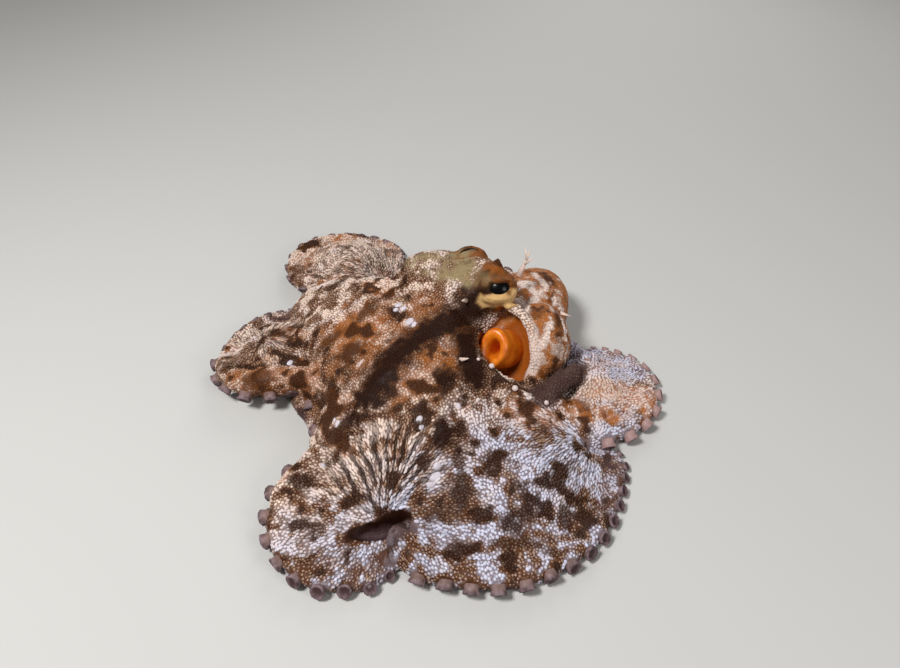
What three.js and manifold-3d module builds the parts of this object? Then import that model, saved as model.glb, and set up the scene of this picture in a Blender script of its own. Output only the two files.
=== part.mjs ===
// A common octopus at rest, life size, in millimetres, +Z up.
// The origin is on the floor under the mouth, where the eight arms meet. The animal's near side faces -Y,
// its forward direction is -X, and the mantle lies towards +X +Y.
// The flesh is modelled whole, from round closed forms bent into shape, and is then parted by thin cuts into
// the mantle, the head, eight arms in three lengths each, and the webs between and inside them.
import * as THREE from 'three';
import { mergeVertices } from 'three/addons/utils/BufferGeometryUtils.js';
import Module from 'manifold-3d';

const wasm = await Module();
wasm.setup();

// ---------- driving dimensions ----------
const GAP = 0.4;                   // width of the thin cuts between pieces
const SLIVER = 500;               // volume in mm3 below which a cut-off scrap is dropped
const FLOOR_SINK = 1.2;            // depth by which flesh is pressed flat against the floor

const ARM_ROOT_RADIUS = 10.5;      // arm half thickness at the crown
const ARM_TIP_RADIUS = 1.8;        // arm half thickness at its very end
const ROOT_REACH = 26;             // how far from the mouth an arm starts
const ARM_SIDES = 7;               // facets round an arm
const RING_STEP = 19;              // distance between rings along a straight arm
const RING_TURN = 50;              // degrees of curl that add one more ring
const STRIP_MARGIN = 1.2;          // web that stays on each side of an arm when it is parted from the web
const LENGTHS = { base: [0, 0.36], middle: [0.36, 0.7], tip: [0.7, 1] };

// Each arm runs out from the crown at azimuth root, then curls round a centre, from an angle through a
// sweep, while its distance from that centre follows reach in even steps. pleat is the height of the web
// at that centre (0 where the curl is open). lift raises the stretch of the arm between two shares of its
// length. Angles are in degrees.
const ARMS = {
  left_1: {
    root: 178, curl: [-97, 32], from: 290, sweep: -230, reach: [37, 36, 31, 27, 30, 38, 42],
    pleat: 17, lift: { by: 8, span: [0.15, 0.5] },
  },
  left_2: {
    root: 226, curl: [-29, -88], from: 148, sweep: 230, reach: [44, 44, 38, 32, 25, 17, 9],
    pleat: 9,
  },
  left_3: {
    root: 268, curl: [40, -60], from: 222, sweep: 175, reach: [68, 61, 56, 53, 52, 54, 60, 43],
    pleat: 27,
  },
  left_4: {
    root: 322, curl: [92, 2], from: 246, sweep: 215, reach: [38, 34, 32, 33, 34, 34, 33],
    pleat: 20,
  },
  right_1: {
    root: 140, curl: [-57, 112], from: 226, sweep: -256, reach: [27, 40, 46, 42, 42, 35, 28],
    pleat: 24,
  },
  right_2: { root: 104, curl: [6, 104], from: 200, sweep: -470, reach: [22, 21, 15, 10, 5], pleat: 0 },
  right_3: { root: 70, curl: [42, 94], from: 200, sweep: -470, reach: [18, 17, 13, 9, 5], pleat: 0 },
  right_4: {
    root: 38, curl: [66, 3], from: 72, sweep: -180, reach: [34, 27, 22, 24, 32],
    pleat: 0, lift: { by: 11, span: [0.5, 1.2] },
  },
};

const WEB_SIDES = 14;              // corners round the web inside a curl
const WEB_ROWS = [
  { out: 0, onTop: true }, { out: 0.6, onTop: true }, { out: 1, onTop: true },
  { out: 1, onTop: false }, { out: 0, onTop: false },
];
const CURL_START = 0.3;            // share of an arm's length at which its curl begins

// The crown is the tent of thick flesh over the arm roots, with its top under the head.
const TENT_TOP = [2, 24, 52];
const TENT_FULLNESS = 0.8;         // below 1 the tent bulges, above 1 it sags
const FUNNEL_SIDE_DROP = 0.3;      // share of its height that the crown loses towards +X
// How far the crown reaches, in even steps of azimuth from +X.
const SKIRT_REACH = [74, 62, 60, 66, 78, 94, 126, 106, 84, 74, 86, 98, 108, 114, 112, 98];

const EYES = { left: [37, 28, 57], right: [22, 56, 54] };
const EYE_RADIUS = 9.5;
const EYE_BULGE = 13;              // radius of the swelling that carries an eye
const EYE_SET = 6;                 // how far that swelling lies behind the eye
const HEAD_LOBES = [
  { centre: [22, 42, 40], semi: [25, 25, 24], sides: 14 },
  { centre: [2, 53, 35], semi: [27, 20, 29], sides: 12 },
];
const HEAD_ZONE = { centre: [11, 48, 56], size: [90, 64, 62], turn: 8, lean: -10 }; // the head's cutter

const MANTLE_LOBES = [
  { centre: [56, 47, 22], semi: [42, 25, 21], turn: 66, sides: 16 },
  { centre: [60, 18, 25], semi: [20, 26, 23], sides: 12 },
];
const MANTLE_MARGIN = 0.8;         // flesh that the cut round the mantle leaves on it
// The hollow at the mantle's mouth, where the funnel comes out.
const BAY = { centre: [40, 1, 32], semi: [15.5, 15, 28], turn: -12, lean: -38, sides: 12 };
const FUNNEL_ROUTE = [[45, 15, 23], [38, 10, 29], [33, 2.5, 37]];
const FUNNEL_RADII = [11, 9];      // at its root and at its open end
const FUNNEL_BORE = 5;
const CURL_HOLLOW = { centre: [-24.5, -95.5, 16], semi: [16.5, 5.4, 14], turn: 10, sides: 10 };

const MOUTH = { radius: 12, height: 9 }; // the mass round the beak, flush with the floor
const LOOKS = {
  skin: { color: 0x8a6248, roughness: 0.55 },
  mantle: { color: 0xa5623a, roughness: 0.5 },
  funnel: { color: 0xd9731c, roughness: 0.4 },
  eye: { color: 0x2a1a10, roughness: 0.15 },
};

// ---------- small helpers ----------
const { degToRad, radToDeg, clamp, lerp, smoothstep, euclideanModulo } = THREE.MathUtils;
const vector = (p) => new THREE.Vector3(...p);

// The closed solid of a three.js geometry.
function solid(geometry) {
  const bare = geometry.index ? geometry.toNonIndexed() : geometry;
  const positions = new THREE.BufferGeometry().setAttribute('position', bare.getAttribute('position'));
  const merged = mergeVertices(positions, 1e-3);
  return new wasm.Manifold(new wasm.Mesh({
    numProp: 3,
    vertProperties: merged.attributes.position.array,
    triVerts: new Uint32Array(merged.index.array),
  }));
}

const join = (bodies) => bodies.reduce((whole, body) => whole.add(body));
const cutAway = (body, others) => others.reduce((left, other) => left.subtract(other), body);

// The separate bodies of a solid, largest first; slivers that a cut leaves behind are dropped.
function bodiesOf(solidBody) {
  const bodies = solidBody.decompose().sort((a, b) => b.volume() - a.volume());
  return bodies.filter((body, i) => i === 0 || body.volume() > SLIVER);
}

// A three.js mesh of a solid, with its name and look.
function piece(name, body, look) {
  const mesh = body.getMesh();
  const geometry = new THREE.BufferGeometry();
  geometry.setAttribute('position', new THREE.BufferAttribute(mesh.vertProperties, 3));
  geometry.setIndex(new THREE.BufferAttribute(mesh.triVerts, 1));
  geometry.computeVertexNormals();
  const made = new THREE.Mesh(geometry, new THREE.MeshStandardMaterial({ metalness: 0, ...look }));
  made.name = name;
  return made;
}

// Moves every point of a geometry by a function of its place.
function bend(geometry, move) {
  const positions = geometry.getAttribute('position');
  const point = new THREE.Vector3();
  for (let i = 0; i < positions.count; i++) {
    move(point.fromBufferAttribute(positions, i));
    positions.setXYZ(i, point.x, point.y, point.z);
  }
  return geometry;
}

// An ellipsoid, leaned about its own X axis and then turned in plan, in degrees.
function ellipsoid({ centre, semi, turn = 0, lean = 0, sides }, grow = 0) {
  const geometry = new THREE.SphereGeometry(1, sides, Math.round(sides * 0.6));
  geometry.rotateX(Math.PI / 2);
  geometry.scale(semi[0] + grow, semi[1] + grow, semi[2] + grow);
  geometry.rotateX(degToRad(lean));
  geometry.rotateZ(degToRad(turn));
  geometry.translate(...centre);
  return solid(geometry);
}

// ---------- the arm crown ----------
// Skirt reach at an azimuth, smoothly between the listed steps.
function skirtReach(azimuth) {
  const steps = SKIRT_REACH.length;
  const place = euclideanModulo(azimuth / (2 * Math.PI), 1) * steps;
  const low = Math.floor(place);
  const share = smoothstep(place - low, 0, 1);
  return lerp(SKIRT_REACH[low % steps], SKIRT_REACH[(low + 1) % steps], share);
}

// Height of the crown at a share of the way from its top to its skirt.
function tentHeight(share, azimuth) {
  const drop = FUNNEL_SIDE_DROP * smoothstep(Math.cos(azimuth), 0.1, 1) * smoothstep(share, 0, 0.5);
  return TENT_TOP[2] * (1 - drop) * Math.pow(Math.max(0, 1 - share * share), TENT_FULLNESS);
}

// Height of the crown over a point of the floor.
function crownHeight(x, y) {
  let share = 0;
  for (let i = 0; i < 8; i++) {
    const dx = x - TENT_TOP[0] * (1 - share);
    const dy = y - TENT_TOP[1] * (1 - share);
    share = clamp(Math.hypot(dx, dy) / skirtReach(Math.atan2(dy, dx)), 0, 1);
  }
  return tentHeight(share, Math.atan2(y - TENT_TOP[1] * (1 - share), x - TENT_TOP[0] * (1 - share)));
}

function crown() {
  const geometry = new THREE.SphereGeometry(1, 22, 8);
  geometry.rotateX(Math.PI / 2);
  return solid(bend(geometry, (p) => {
    const azimuth = Math.atan2(p.y, p.x);
    const share = Math.min(1, Math.hypot(p.x, p.y));
    const out = skirtReach(azimuth) * share;
    p.set(
      Math.cos(azimuth) * out + TENT_TOP[0] * (1 - share),
      Math.sin(azimuth) * out + TENT_TOP[1] * (1 - share),
      p.z > 0 ? tentHeight(share, azimuth) : -FLOOR_SINK * (1 - share),
    );
  }));
}

// ---------- arms ----------
// Distance from the curl's centre at a share of its sweep, smoothly between the listed steps.
function curlReach(arm, share) {
  const place = clamp(share, 0, 1) * (arm.reach.length - 1);
  const low = Math.min(Math.floor(place), arm.reach.length - 2);
  return lerp(arm.reach[low], arm.reach[low + 1], smoothstep(place - low, 0, 1));
}

// The arm's middle line in plan, from the crown to the tip.
function armRoute(arm) {
  const root = degToRad(arm.root);
  const points = [new THREE.Vector3(Math.cos(root) * ROOT_REACH, Math.sin(root) * ROOT_REACH, 0)];
  const steps = Math.round(Math.abs(arm.sweep) / 25);
  for (let i = 0; i <= steps; i++) {
    const angle = degToRad(arm.from + arm.sweep * i / steps);
    const radius = curlReach(arm, i / steps);
    const offset = new THREE.Vector3(radius * Math.cos(angle), radius * Math.sin(angle), 0);
    points.push(offset.add(new THREE.Vector3(...arm.curl, 0)));
  }
  const route = new THREE.CatmullRomCurve3(points, false, 'centripetal');
  route.arcLengthDivisions = 400;
  return route;
}

const armRadius = (share) => lerp(ARM_ROOT_RADIUS, ARM_TIP_RADIUS, Math.pow(share, 1.15));

// Height of the arm's middle line.
function armMiddle(arm, share, place) {
  const { by, span } = arm.lift ?? { by: 0, span: [0, 1] };
  const falling = smoothstep(share, span[1] - 0.08, span[1] + 0.1);
  const raised = by * smoothstep(share, span[0], span[0] + 0.12) * (1 - falling);
  const resting = armRadius(share) - FLOOR_SINK + raised;
  return Math.max(resting, crownHeight(place.x, place.y) - armRadius(share) * 0.8);
}

// How many rings an arm's tube has.
function ringCount(arm, route) {
  return Math.round(route.getLength() / RING_STEP + Math.abs(arm.sweep) / RING_TURN);
}

// A whole arm, as one closed tube with rounded ends.
function armTube(arm) {
  const route = armRoute(arm);
  const geometry = new THREE.SphereGeometry(1, ARM_SIDES, ringCount(arm, route));
  return solid(bend(geometry, (p) => {
    const share = clamp(Math.acos(clamp(p.y, -1, 1)) / Math.PI, 0, 1);
    const centre = route.getPointAt(share);
    const tangent = route.getTangentAt(share);
    const round = Math.hypot(p.x, p.z) > 1e-6 ? armRadius(share) / Math.hypot(p.x, p.z) : 0;
    const across = p.x * round;
    p.set(
      centre.x + tangent.y * across,
      centre.y - tangent.x * across,
      armMiddle(arm, share, centre) - p.z * round,
    );
  }));
}

// How far the web inside a curl reaches at an azimuth: out to the arm, and evenly across its open side.
function webReach(arm, azimuth) {
  const start = arm.sweep > 0 ? arm.from : arm.from + arm.sweep;
  const turned = euclideanModulo(radToDeg(azimuth) - start, 360);
  const swept = Math.abs(arm.sweep);
  const share = turned <= swept ? turned / swept : (360 - turned) / (360 - swept);
  const curled = arm.sweep > 0 ? share : 1 - share;
  return { reach: curlReach(arm, curled), share: curled };
}

// The web that fills an arm's curl: a low dome from the pleat at its centre out to the arm, where its
// edge goes straight down inside the arm. WEB_ROWS are its rings from the top centre to the bottom centre.
function curlWeb(arm) {
  const geometry = new THREE.SphereGeometry(1, WEB_SIDES, WEB_ROWS.length - 1);
  geometry.rotateX(Math.PI / 2);
  return solid(bend(geometry, (p) => {
    const row = Math.round(Math.acos(clamp(p.z, -1, 1)) / Math.PI * (WEB_ROWS.length - 1));
    const azimuth = Math.atan2(p.y, p.x);
    const { reach, share } = webReach(arm, azimuth);
    const x = arm.curl[0] + Math.cos(azimuth) * reach * WEB_ROWS[row].out;
    const y = arm.curl[1] + Math.sin(azimuth) * reach * WEB_ROWS[row].out;
    const along = lerp(CURL_START, 1, share);
    const rim = armMiddle(arm, along, { x, y }) + armRadius(along) * 0.5;
    const top = lerp(arm.pleat, rim, smoothstep(WEB_ROWS[row].out, 0, 1));
    p.set(x, y, WEB_ROWS[row].onTop ? top : -FLOOR_SINK);
  }));
}

// ---------- head, mantle, funnel ----------
function head() {
  const behind = (eye) => {
    const inward = vector(HEAD_LOBES[0].centre).sub(vector(eye)).normalize().multiplyScalar(EYE_SET);
    return { centre: vector(eye).add(inward).toArray(), semi: Array(3).fill(EYE_BULGE), sides: 12 };
  };
  return join([...HEAD_LOBES, ...Object.values(EYES).map(behind)].map((lobe) => ellipsoid(lobe)));
}

// The block that the head is cut out by.
function headZone(grow) {
  const geometry = new THREE.BoxGeometry(...HEAD_ZONE.size.map((side) => side + 2 * grow));
  geometry.rotateX(degToRad(HEAD_ZONE.lean));
  geometry.rotateZ(degToRad(HEAD_ZONE.turn));
  return solid(geometry.translate(...HEAD_ZONE.centre));
}

// The round block that the mouth is cut by.
function mouthZone(grow) {
  const radius = MOUTH.radius + grow;
  const geometry = new THREE.CylinderGeometry(radius, radius, 2 * (MOUTH.height + grow), 10);
  return solid(geometry.rotateX(Math.PI / 2));
}

const mantle = (grow = 0) => join(MANTLE_LOBES.map((lobe) => ellipsoid(lobe, grow)));
const eyeball = (centre, grow = 0) => ellipsoid({ centre, semi: Array(3).fill(EYE_RADIUS), sides: 10 }, grow);

// A round tube along the funnel's route, from radius to radius, carried on past its open end by beyond.
function funnelTube(radii, beyond, grow = 0) {
  const route = new THREE.CatmullRomCurve3(FUNNEL_ROUTE.map(vector));
  const geometry = new THREE.CylinderGeometry(1, 1, 1, 12, 2);
  return solid(bend(geometry, (p) => {
    const share = p.y + 0.5;
    const tangent = route.getTangentAt(share);
    const side = vector([0, 0, 1]).cross(tangent).normalize();
    const up = tangent.clone().cross(side);
    const radius = lerp(radii[0], radii[1], share) + grow;
    const centre = route.getPointAt(share).addScaledVector(tangent, share * beyond);
    p.copy(centre.addScaledVector(side, -p.x * radius).addScaledVector(up, p.z * radius));
  }));
}

// ---------- where the cuts go ----------
// A vertical block over a plan outline.
function block(outline) {
  const geometry = new THREE.ExtrudeGeometry(new THREE.Shape(outline), { depth: 120, bevelEnabled: false });
  return solid(geometry.translate(0, 0, -10));
}

// The strip of floor under one length of an arm, widened and lengthened by grow.
function armStrip(arm, from, to, grow) {
  const route = armRoute(arm);
  const rings = ringCount(arm, route);
  const first = Math.round(from * rings);
  const last = Math.round(to * rings);
  const sides = [[], []];
  for (let i = first; i <= last; i++) {
    const share = i / rings;
    const centre = route.getPointAt(share);
    const tangent = route.getTangentAt(share);
    const along = (i === last ? grow : 0) - (i === first ? grow : 0);
    const half = Math.min(armRadius(share) + STRIP_MARGIN, lerp(8, 40, share)) + grow;
    for (const [k, sign] of [1, -1].entries()) {
      sides[k].push(new THREE.Vector2(
        centre.x + tangent.x * along + tangent.y * half * sign,
        centre.y + tangent.y * along - tangent.x * half * sign,
      ));
    }
  }
  return block([...sides[0], ...sides[1].reverse()]);
}

// The patch of floor under the web in an arm's curl.
function curlPatch(arm, grow) {
  const corners = [];
  for (let i = 0; i < WEB_SIDES; i++) {
    const azimuth = 2 * Math.PI * i / WEB_SIDES;
    const reach = webReach(arm, azimuth).reach + grow;
    const offset = new THREE.Vector2(Math.cos(azimuth), Math.sin(azimuth)).multiplyScalar(reach);
    corners.push(offset.add(new THREE.Vector2(...arm.curl)));
  }
  return block(corners);
}

// The wedge of floor between two azimuths, a hairline clear of both.
function wedge(start, sweep) {
  const middle = degToRad(start + sweep / 2);
  const back = GAP / 2 / Math.sin(degToRad(sweep / 2));
  const tip = new THREE.Vector2(Math.cos(middle) * back, Math.sin(middle) * back);
  const corners = [0, 0.5, 1].map((share) => {
    const azimuth = degToRad(start + sweep * share);
    return new THREE.Vector2(Math.cos(azimuth) * 300, Math.sin(azimuth) * 300).add(tip);
  });
  return block([tip, ...corners]);
}

// ---------- putting it together ----------
const curled = Object.entries(ARMS).filter(([, arm]) => arm.pleat > 0);
const eyeSockets = Object.values(EYES).map((centre) => eyeball(centre, GAP));
const flesh = cutAway(
  join([
    crown(), head(), mantle(),
    ...Object.values(ARMS).map(armTube),
    ...curled.map(([, arm]) => curlWeb(arm)),
  ]),
  [...eyeSockets, ellipsoid(BAY), ellipsoid(CURL_HOLLOW), funnelTube(FUNNEL_RADII, 0, GAP)],
).intersect(solid(new THREE.BoxGeometry(600, 600, 300).translate(0, 0, 150)));

const octopus = new THREE.Group();
function addPiece(name, body, look) {
  bodiesOf(body).forEach((part, i) => octopus.add(piece(i ? `${name}_${i + 1}` : name, part, look)));
}

for (const [side, centre] of Object.entries(EYES)) {
  addPiece(`eye_${side}`, eyeball(centre), LOOKS.eye);
}
addPiece('funnel', cutAway(funnelTube(FUNNEL_RADII, 0), [funnelTube([0.5, FUNNEL_BORE], 1)]), LOOKS.funnel);

addPiece('mantle', cutAway(flesh.intersect(mantle(MANTLE_MARGIN)), [headZone(GAP)]), LOOKS.mantle);
addPiece('mouth', flesh.intersect(mouthZone(0)), LOOKS.skin);
addPiece('head', flesh.intersect(headZone(0)), LOOKS.skin);
let rest = cutAway(flesh, [headZone(GAP), mantle(MANTLE_MARGIN + GAP), mouthZone(GAP)]);

for (const [side, arm] of Object.entries(ARMS)) {
  for (const [part, [from, to]] of Object.entries(LENGTHS)) {
    addPiece(`arm_${side}_${part}`, rest.intersect(armStrip(arm, from, to, 0)), LOOKS.skin);
    rest = rest.subtract(armStrip(arm, from, to, GAP));
  }
}
for (const [side, arm] of curled) {
  addPiece(`web_in_${side}_curl`, rest.intersect(curlPatch(arm, 0)), LOOKS.skin);
  rest = rest.subtract(curlPatch(arm, GAP));
}
const order = ['left_1', 'left_2', 'left_3', 'left_4', 'right_4', 'right_3', 'right_2', 'right_1'];
order.forEach((side, i) => {
  const next = order[(i + 1) % order.length];
  const sweep = euclideanModulo(ARMS[next].root - ARMS[side].root, 360);
  addPiece(`web_${side}_to_${next}`, rest.intersect(wedge(ARMS[side].root, sweep)), LOOKS.skin);
});

export default octopus;
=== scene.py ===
"""A common octopus at rest, life size: its skin, suckers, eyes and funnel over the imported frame.

The skin is built whole from round forms on the frame's own sizes, fused on an even grid, and worked over
with folds and pleats. Granules, warts and pointed papillae are small solids set on it, and carry the same
markings. All sizes in the tables are millimetres, in the frame's axes: +Z up, -Y the near side, the
mantle towards +X +Y.
"""
import math
from contextlib import contextmanager

import bmesh
import bpy
import numpy as np
from mathutils import Matrix, Vector, noise
from mathutils.bvhtree import BVHTree


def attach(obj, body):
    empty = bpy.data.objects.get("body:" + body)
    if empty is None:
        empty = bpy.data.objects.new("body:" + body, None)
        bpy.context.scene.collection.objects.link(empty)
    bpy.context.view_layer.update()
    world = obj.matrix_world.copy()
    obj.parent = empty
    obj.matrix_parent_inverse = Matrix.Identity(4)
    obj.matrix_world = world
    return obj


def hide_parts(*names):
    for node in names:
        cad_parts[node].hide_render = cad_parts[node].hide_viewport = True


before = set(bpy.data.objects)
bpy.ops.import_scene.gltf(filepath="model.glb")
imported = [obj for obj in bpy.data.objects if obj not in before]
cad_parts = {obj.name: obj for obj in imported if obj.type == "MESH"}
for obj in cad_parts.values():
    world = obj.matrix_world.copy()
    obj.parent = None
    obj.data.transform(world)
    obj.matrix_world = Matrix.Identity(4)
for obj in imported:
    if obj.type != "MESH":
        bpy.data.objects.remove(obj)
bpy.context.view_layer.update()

bl_info = {
    "name": "Resting octopus",
    "version": (1, 0, 0),
    "blender": (4, 5, 0),
    "location": "3D View > Sidebar > Octopus",
    "description": "Builds the skin, granules, suckers, eyes and funnel of a life-size octopus",
    "category": "Add Mesh",
}

MM = 0.001
SEED = 20

# ---------- the body's driving sizes, as in the frame ----------
FLOOR_SINK = 1.2
ARM_ROOT_RADIUS, ARM_TIP_RADIUS, TAPER = 10.5, 1.8, 1.15
ROOT_REACH = 26
CURL_START = 0.3
# Each arm leaves the crown at azimuth root, then curls round a centre from an angle through a sweep, while
# its distance from that centre follows reach. pleat is the height of the web at that centre.
ARMS = {
    "left_1": dict(root=178, curl=(-97, 32), start=290, sweep=-230, pleat=17,
                   reach=(37, 36, 31, 27, 30, 38, 42), lift=(8, 0.15, 0.5)),
    "left_2": dict(root=226, curl=(-29, -88), start=148, sweep=230, pleat=9,
                   reach=(44, 44, 38, 32, 25, 17, 9), lift=(0, 0, 1)),
    "left_3": dict(root=268, curl=(40, -60), start=222, sweep=175, pleat=27,
                   reach=(68, 61, 56, 53, 52, 54, 60, 43), lift=(0, 0, 1)),
    "left_4": dict(root=322, curl=(92, 2), start=246, sweep=215, pleat=20,
                   reach=(38, 34, 32, 33, 34, 34, 33), lift=(0, 0, 1)),
    "right_1": dict(root=140, curl=(-57, 112), start=226, sweep=-256, pleat=24,
                    reach=(27, 40, 46, 42, 42, 35, 28), lift=(0, 0, 1)),
    "right_2": dict(root=104, curl=(6, 104), start=200, sweep=-470, pleat=0,
                    reach=(22, 21, 15, 10, 5), lift=(0, 0, 1)),
    "right_3": dict(root=70, curl=(42, 94), start=200, sweep=-470, pleat=0,
                    reach=(18, 17, 13, 9, 5), lift=(0, 0, 1)),
    "right_4": dict(root=38, curl=(66, 3), start=72, sweep=-180, pleat=0,
                    reach=(34, 27, 22, 24, 32), lift=(11, 0.5, 1.2)),
}
TENT_TOP = np.array((2.0, 24.0, 52.0))
TENT_FULLNESS = 0.8
FUNNEL_SIDE_DROP = 0.3
SKIRT_REACH = (74, 62, 60, 66, 78, 94, 126, 106, 84, 74, 86, 98, 108, 114, 112, 98)
HEAD_LOBES = (((22, 42, 40), (25, 25, 24)), ((2, 53, 35), (27, 20, 29)))
MANTLE_LOBES = (((56, 47, 22), (42, 25, 21), 66), ((60, 18, 25), (20, 26, 23), 0))
BAY = dict(centre=(40, 1, 32), semi=(15.5, 15, 28), turn=-12, lean=-38)
BAY_TOP = dict(centre=(31.5, 9, 49.5), semi=(8.5, 8, 8.5), turn=0, lean=0)
CURL_HOLLOW = dict(centre=(-24.5, -95.5, 16), semi=(16.5, 5.4, 14), turn=10, lean=0)
FUNNEL_ROUTE = ((45, 15, 21), (38.5, 10, 28), (33, 1.5, 35.5))
FUNNEL_LENGTH = 21

# Centre, gaze and opening of each eye, and how far the swelling that carries it lies behind.
EYES = {
    "left": dict(centre=(37, 28, 57), gaze=(0.02, -0.71, 0.70), opening=(6.2, 4.7), shade=2.5),
    "right": dict(centre=(22, 56, 54), gaze=(-0.12, 0.1, 0.99), opening=(6.4, 2.0), shade=1.9),
}
EYE_RADIUS = 9.3
EYE_BULGE, EYE_SET = 12.4, 6

# Where the web is gathered: centre in plan, reach, number of folds and their depth, the direction in which
# the gathers run strongest, and their strength away from it.
PLEATS = (
    dict(centre=(-31, 97), reach=50, folds=40, depth=0.7, toward=215, rest=0.6),
    dict(centre=(-103, 30), reach=34, folds=26, depth=0.6, toward=20, rest=0.6),
    dict(centre=(-22, -92), reach=56, folds=38, depth=0.9, toward=88, rest=0.3),
    dict(centre=(84, -44), reach=54, folds=46, depth=0.42, toward=205, rest=0.2),
    dict(centre=(92, 2), reach=28, folds=18, depth=0.4, toward=120, rest=0.4),
)
DEEPEST_PLEAT = 0.9

# Dark blotches: centre, reach along X and Y in plan, turn in degrees, strength.
BLOTCHES = (
    ((-32, -38), (14, 9), 20, 1.0), ((-45, -46), (12, 6), 30, 0.9), ((-64, -70), (9, 5), -10, 0.8),
    ((-47, -56), (8, 5), 20, 0.8), ((-59, -94), (11, 3), 0, 0.8), ((8, -59), (10, 8), 20, 1.0),
    ((17, -84), (6, 7), 20, 0.8), ((29, -72), (8, 4), 30, 0.7), ((39, -95), (7, 6), 0, 0.8),
    ((46, -87), (5, 7), 30, 0.8), ((24, -95), (6, 3), 0, 0.6), ((66, -88), (4, 9), -10, 0.7),
    ((5, -92), (9, 5), 10, 0.7), ((40, -104), (12, 3), 0, 0.6), ((58, -107), (6, 4), 0, 0.5),
    ((-3, -47), (5, 5), 0, 0.9), ((7, -32), (8, 5), 0, 1.0), ((21, -8), (6, 13), 0, 1.0),
    ((25, -22), (6, 7), 0, 0.9), ((-15, -104), (6, 4), 30, 0.7), ((34, -65), (5, 3), 0, 0.5),
    ((-56, -18), (9, 7), 30, 0.8), ((-95, -8), (12, 5), 0, 0.7), ((-118, 8), (7, 7), 0, 0.5),
    ((-60, 62), (12, 5), 20, 0.6), ((-93, 108), (6, 7), 0, 0.5), ((-78, 126), (7, 5), 30, 0.5),
    ((-44, -2), (8, 6), 30, 0.8), ((-36, 22), (9, 5), 40, 0.7), ((-58, 12), (8, 5), 20, 0.7),
    ((62, -72), (3, 7), -30, 0.5), ((74, -78), (3, 6), -20, 0.5), ((14, -70), (4, 5), 0, 0.6),
)
EYE_BAR = ((33, 25, 58), (24, 21, 50), (12, 10, 48), (-2, -2, 48), (-16, -12, 46), (-28, -30, 38))
EYE_BAR_WIDTH = 15
# A painted shadow along the left rim of the mantle's mouth: its width, then its path.
BAY_SHADOW_WIDTH = 13
BAY_SHADOW = ((32, 14, 52), (25, 14, 53), (20, -7, 47), (22, -24, 40))
HORN = ((33, 30, 60), (34.5, 31.5, 64.5), (35.8, 33, 69), (36.5, 34.5, 73))
CREAM_PATH = ((29, 19, 54), (35, 17.5, 55), (42, 20, 56), (47, 23, 57))

# Pale clusters: centre and reach in plan, turn in degrees, strength.
PALE_PATCHES = (
    ((-20, -24), (10, 6), 40, 0.9), ((-50, -41), (5, 4), 0, 1.0), ((12, -44), (8, 5), 10, 0.9),
    ((22, -66), (9, 5), 20, 0.8), ((4, -75), (8, 8), 0, 0.9), ((28, -87), (9, 5), 0, 0.9),
    ((53, -82), (14, 9), 20, 1.0), ((45, -66), (14, 8), 25, 1.0), ((70, -60), (14, 9), 0, 1.0),
    ((82, -66), (10, 9), 0, 0.9), ((-50, -64), (11, 7), 0, 0.9), ((-30, -70), (8, 9), 0, 0.7),
    ((-54, -96), (10, 6), 0, 0.7), ((-35, -108), (14, 6), 0, 0.7), ((-22, -16), (7, 5), 0, 0.5),
    ((12, -102), (8, 6), 0, 0.7), ((-110, 38), (16, 8), 0, 0.8), ((-92, 46), (12, 6), 0, 0.8),
    ((98, 20), (30, 18), -20, 1.0), ((82, -8), (10, 6), 0, 0.8), ((-60, 118), (26, 20), 0, 0.8),
    ((56, -40), (12, 6), 0, 0.7), ((40, -48), (10, 6), 0, 0.7),
)
# Orange ground: centre, radii, strength.
ORANGE_PATCHES = (
    ((101, -13, 14), (16, 10, 12), 1.0), ((117, -12, 8), (16, 14, 12), 0.9),
    ((92, -25, 12), (20, 8, 10), 0.9),
    ((76, -24, 16), (18, 10, 14), 0.8), ((56, -37, 24), (16, 8, 12), 0.7), ((46, -38, 28), (12, 10, 12), 0.6),
    ((-44, 12, 38), (26, 20, 20), 0.7), ((-95, -5, 20), (22, 12, 16), 0.6), ((5, -18, 46), (12, 10, 10), 0.6),
    ((-70, 148, 10), (12, 12, 14), 0.8), ((-32, 146, 10), (12, 12, 14), 0.8),
    ((-30, 97, 18), (16, 10, 14), 0.6),
    ((-90, 120, 10), (10, 18, 14), 0.5),
)
# Large pale warts: place in plan and radius.
WARTS = (
    ((-19, 22), 2.6), ((-16, 18.5), 2.0), ((-20, 18.5), 1.6), ((-12, 7), 2.8), ((-9.5, 4.5), 1.8),
    ((-82, 8), 2.2),
    ((-80, 5), 1.6), ((3, -77), 3.0), ((4, -73.5), 2.1), ((1, -80.5), 2.0), ((-48, -43), 2.2),
    ((-50, -40), 1.6),
    ((-5, -52), 1.8), ((-4, -55.5), 1.5), ((14, -45), 1.8), ((-55, -60), 1.8), ((-38, -12), 1.6),
    ((46, -72), 1.6),
)
# Streaks on the mantle: route and width.
MANTLE_PALE = (
    (((51, 53, 42), (58, 50, 43), (63, 44, 42), (59, 34, 43)), 6.5),
    (((66, 13, 46), (60, -2, 40), (56, -7, 29)), 5.0),
    (((51, 36, 42), (53, 17, 47), (54, 4, 43)), 5.5), (((74, 18, 41), (75, 5, 36), (75, 0, 21)), 3.5),
    (((72, 44, 40), (80, 40, 30)), 5.0), (((62, 62, 42), (67, 54, 42), (69, 46, 41)), 4.5),
)
MANTLE_DARK = (
    (((71, 47, 39), (71, 20, 44), (70, 4, 40), (67, -5, 28)), 4.0), (((56, 21, 47), (65, 24, 47)), 4.0),
    (((57, 9, 47), (56, 0, 41), (54, -5, 32)), 3.0), (((67, 66, 40), (72, 56, 39)), 5.0),
)
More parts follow.
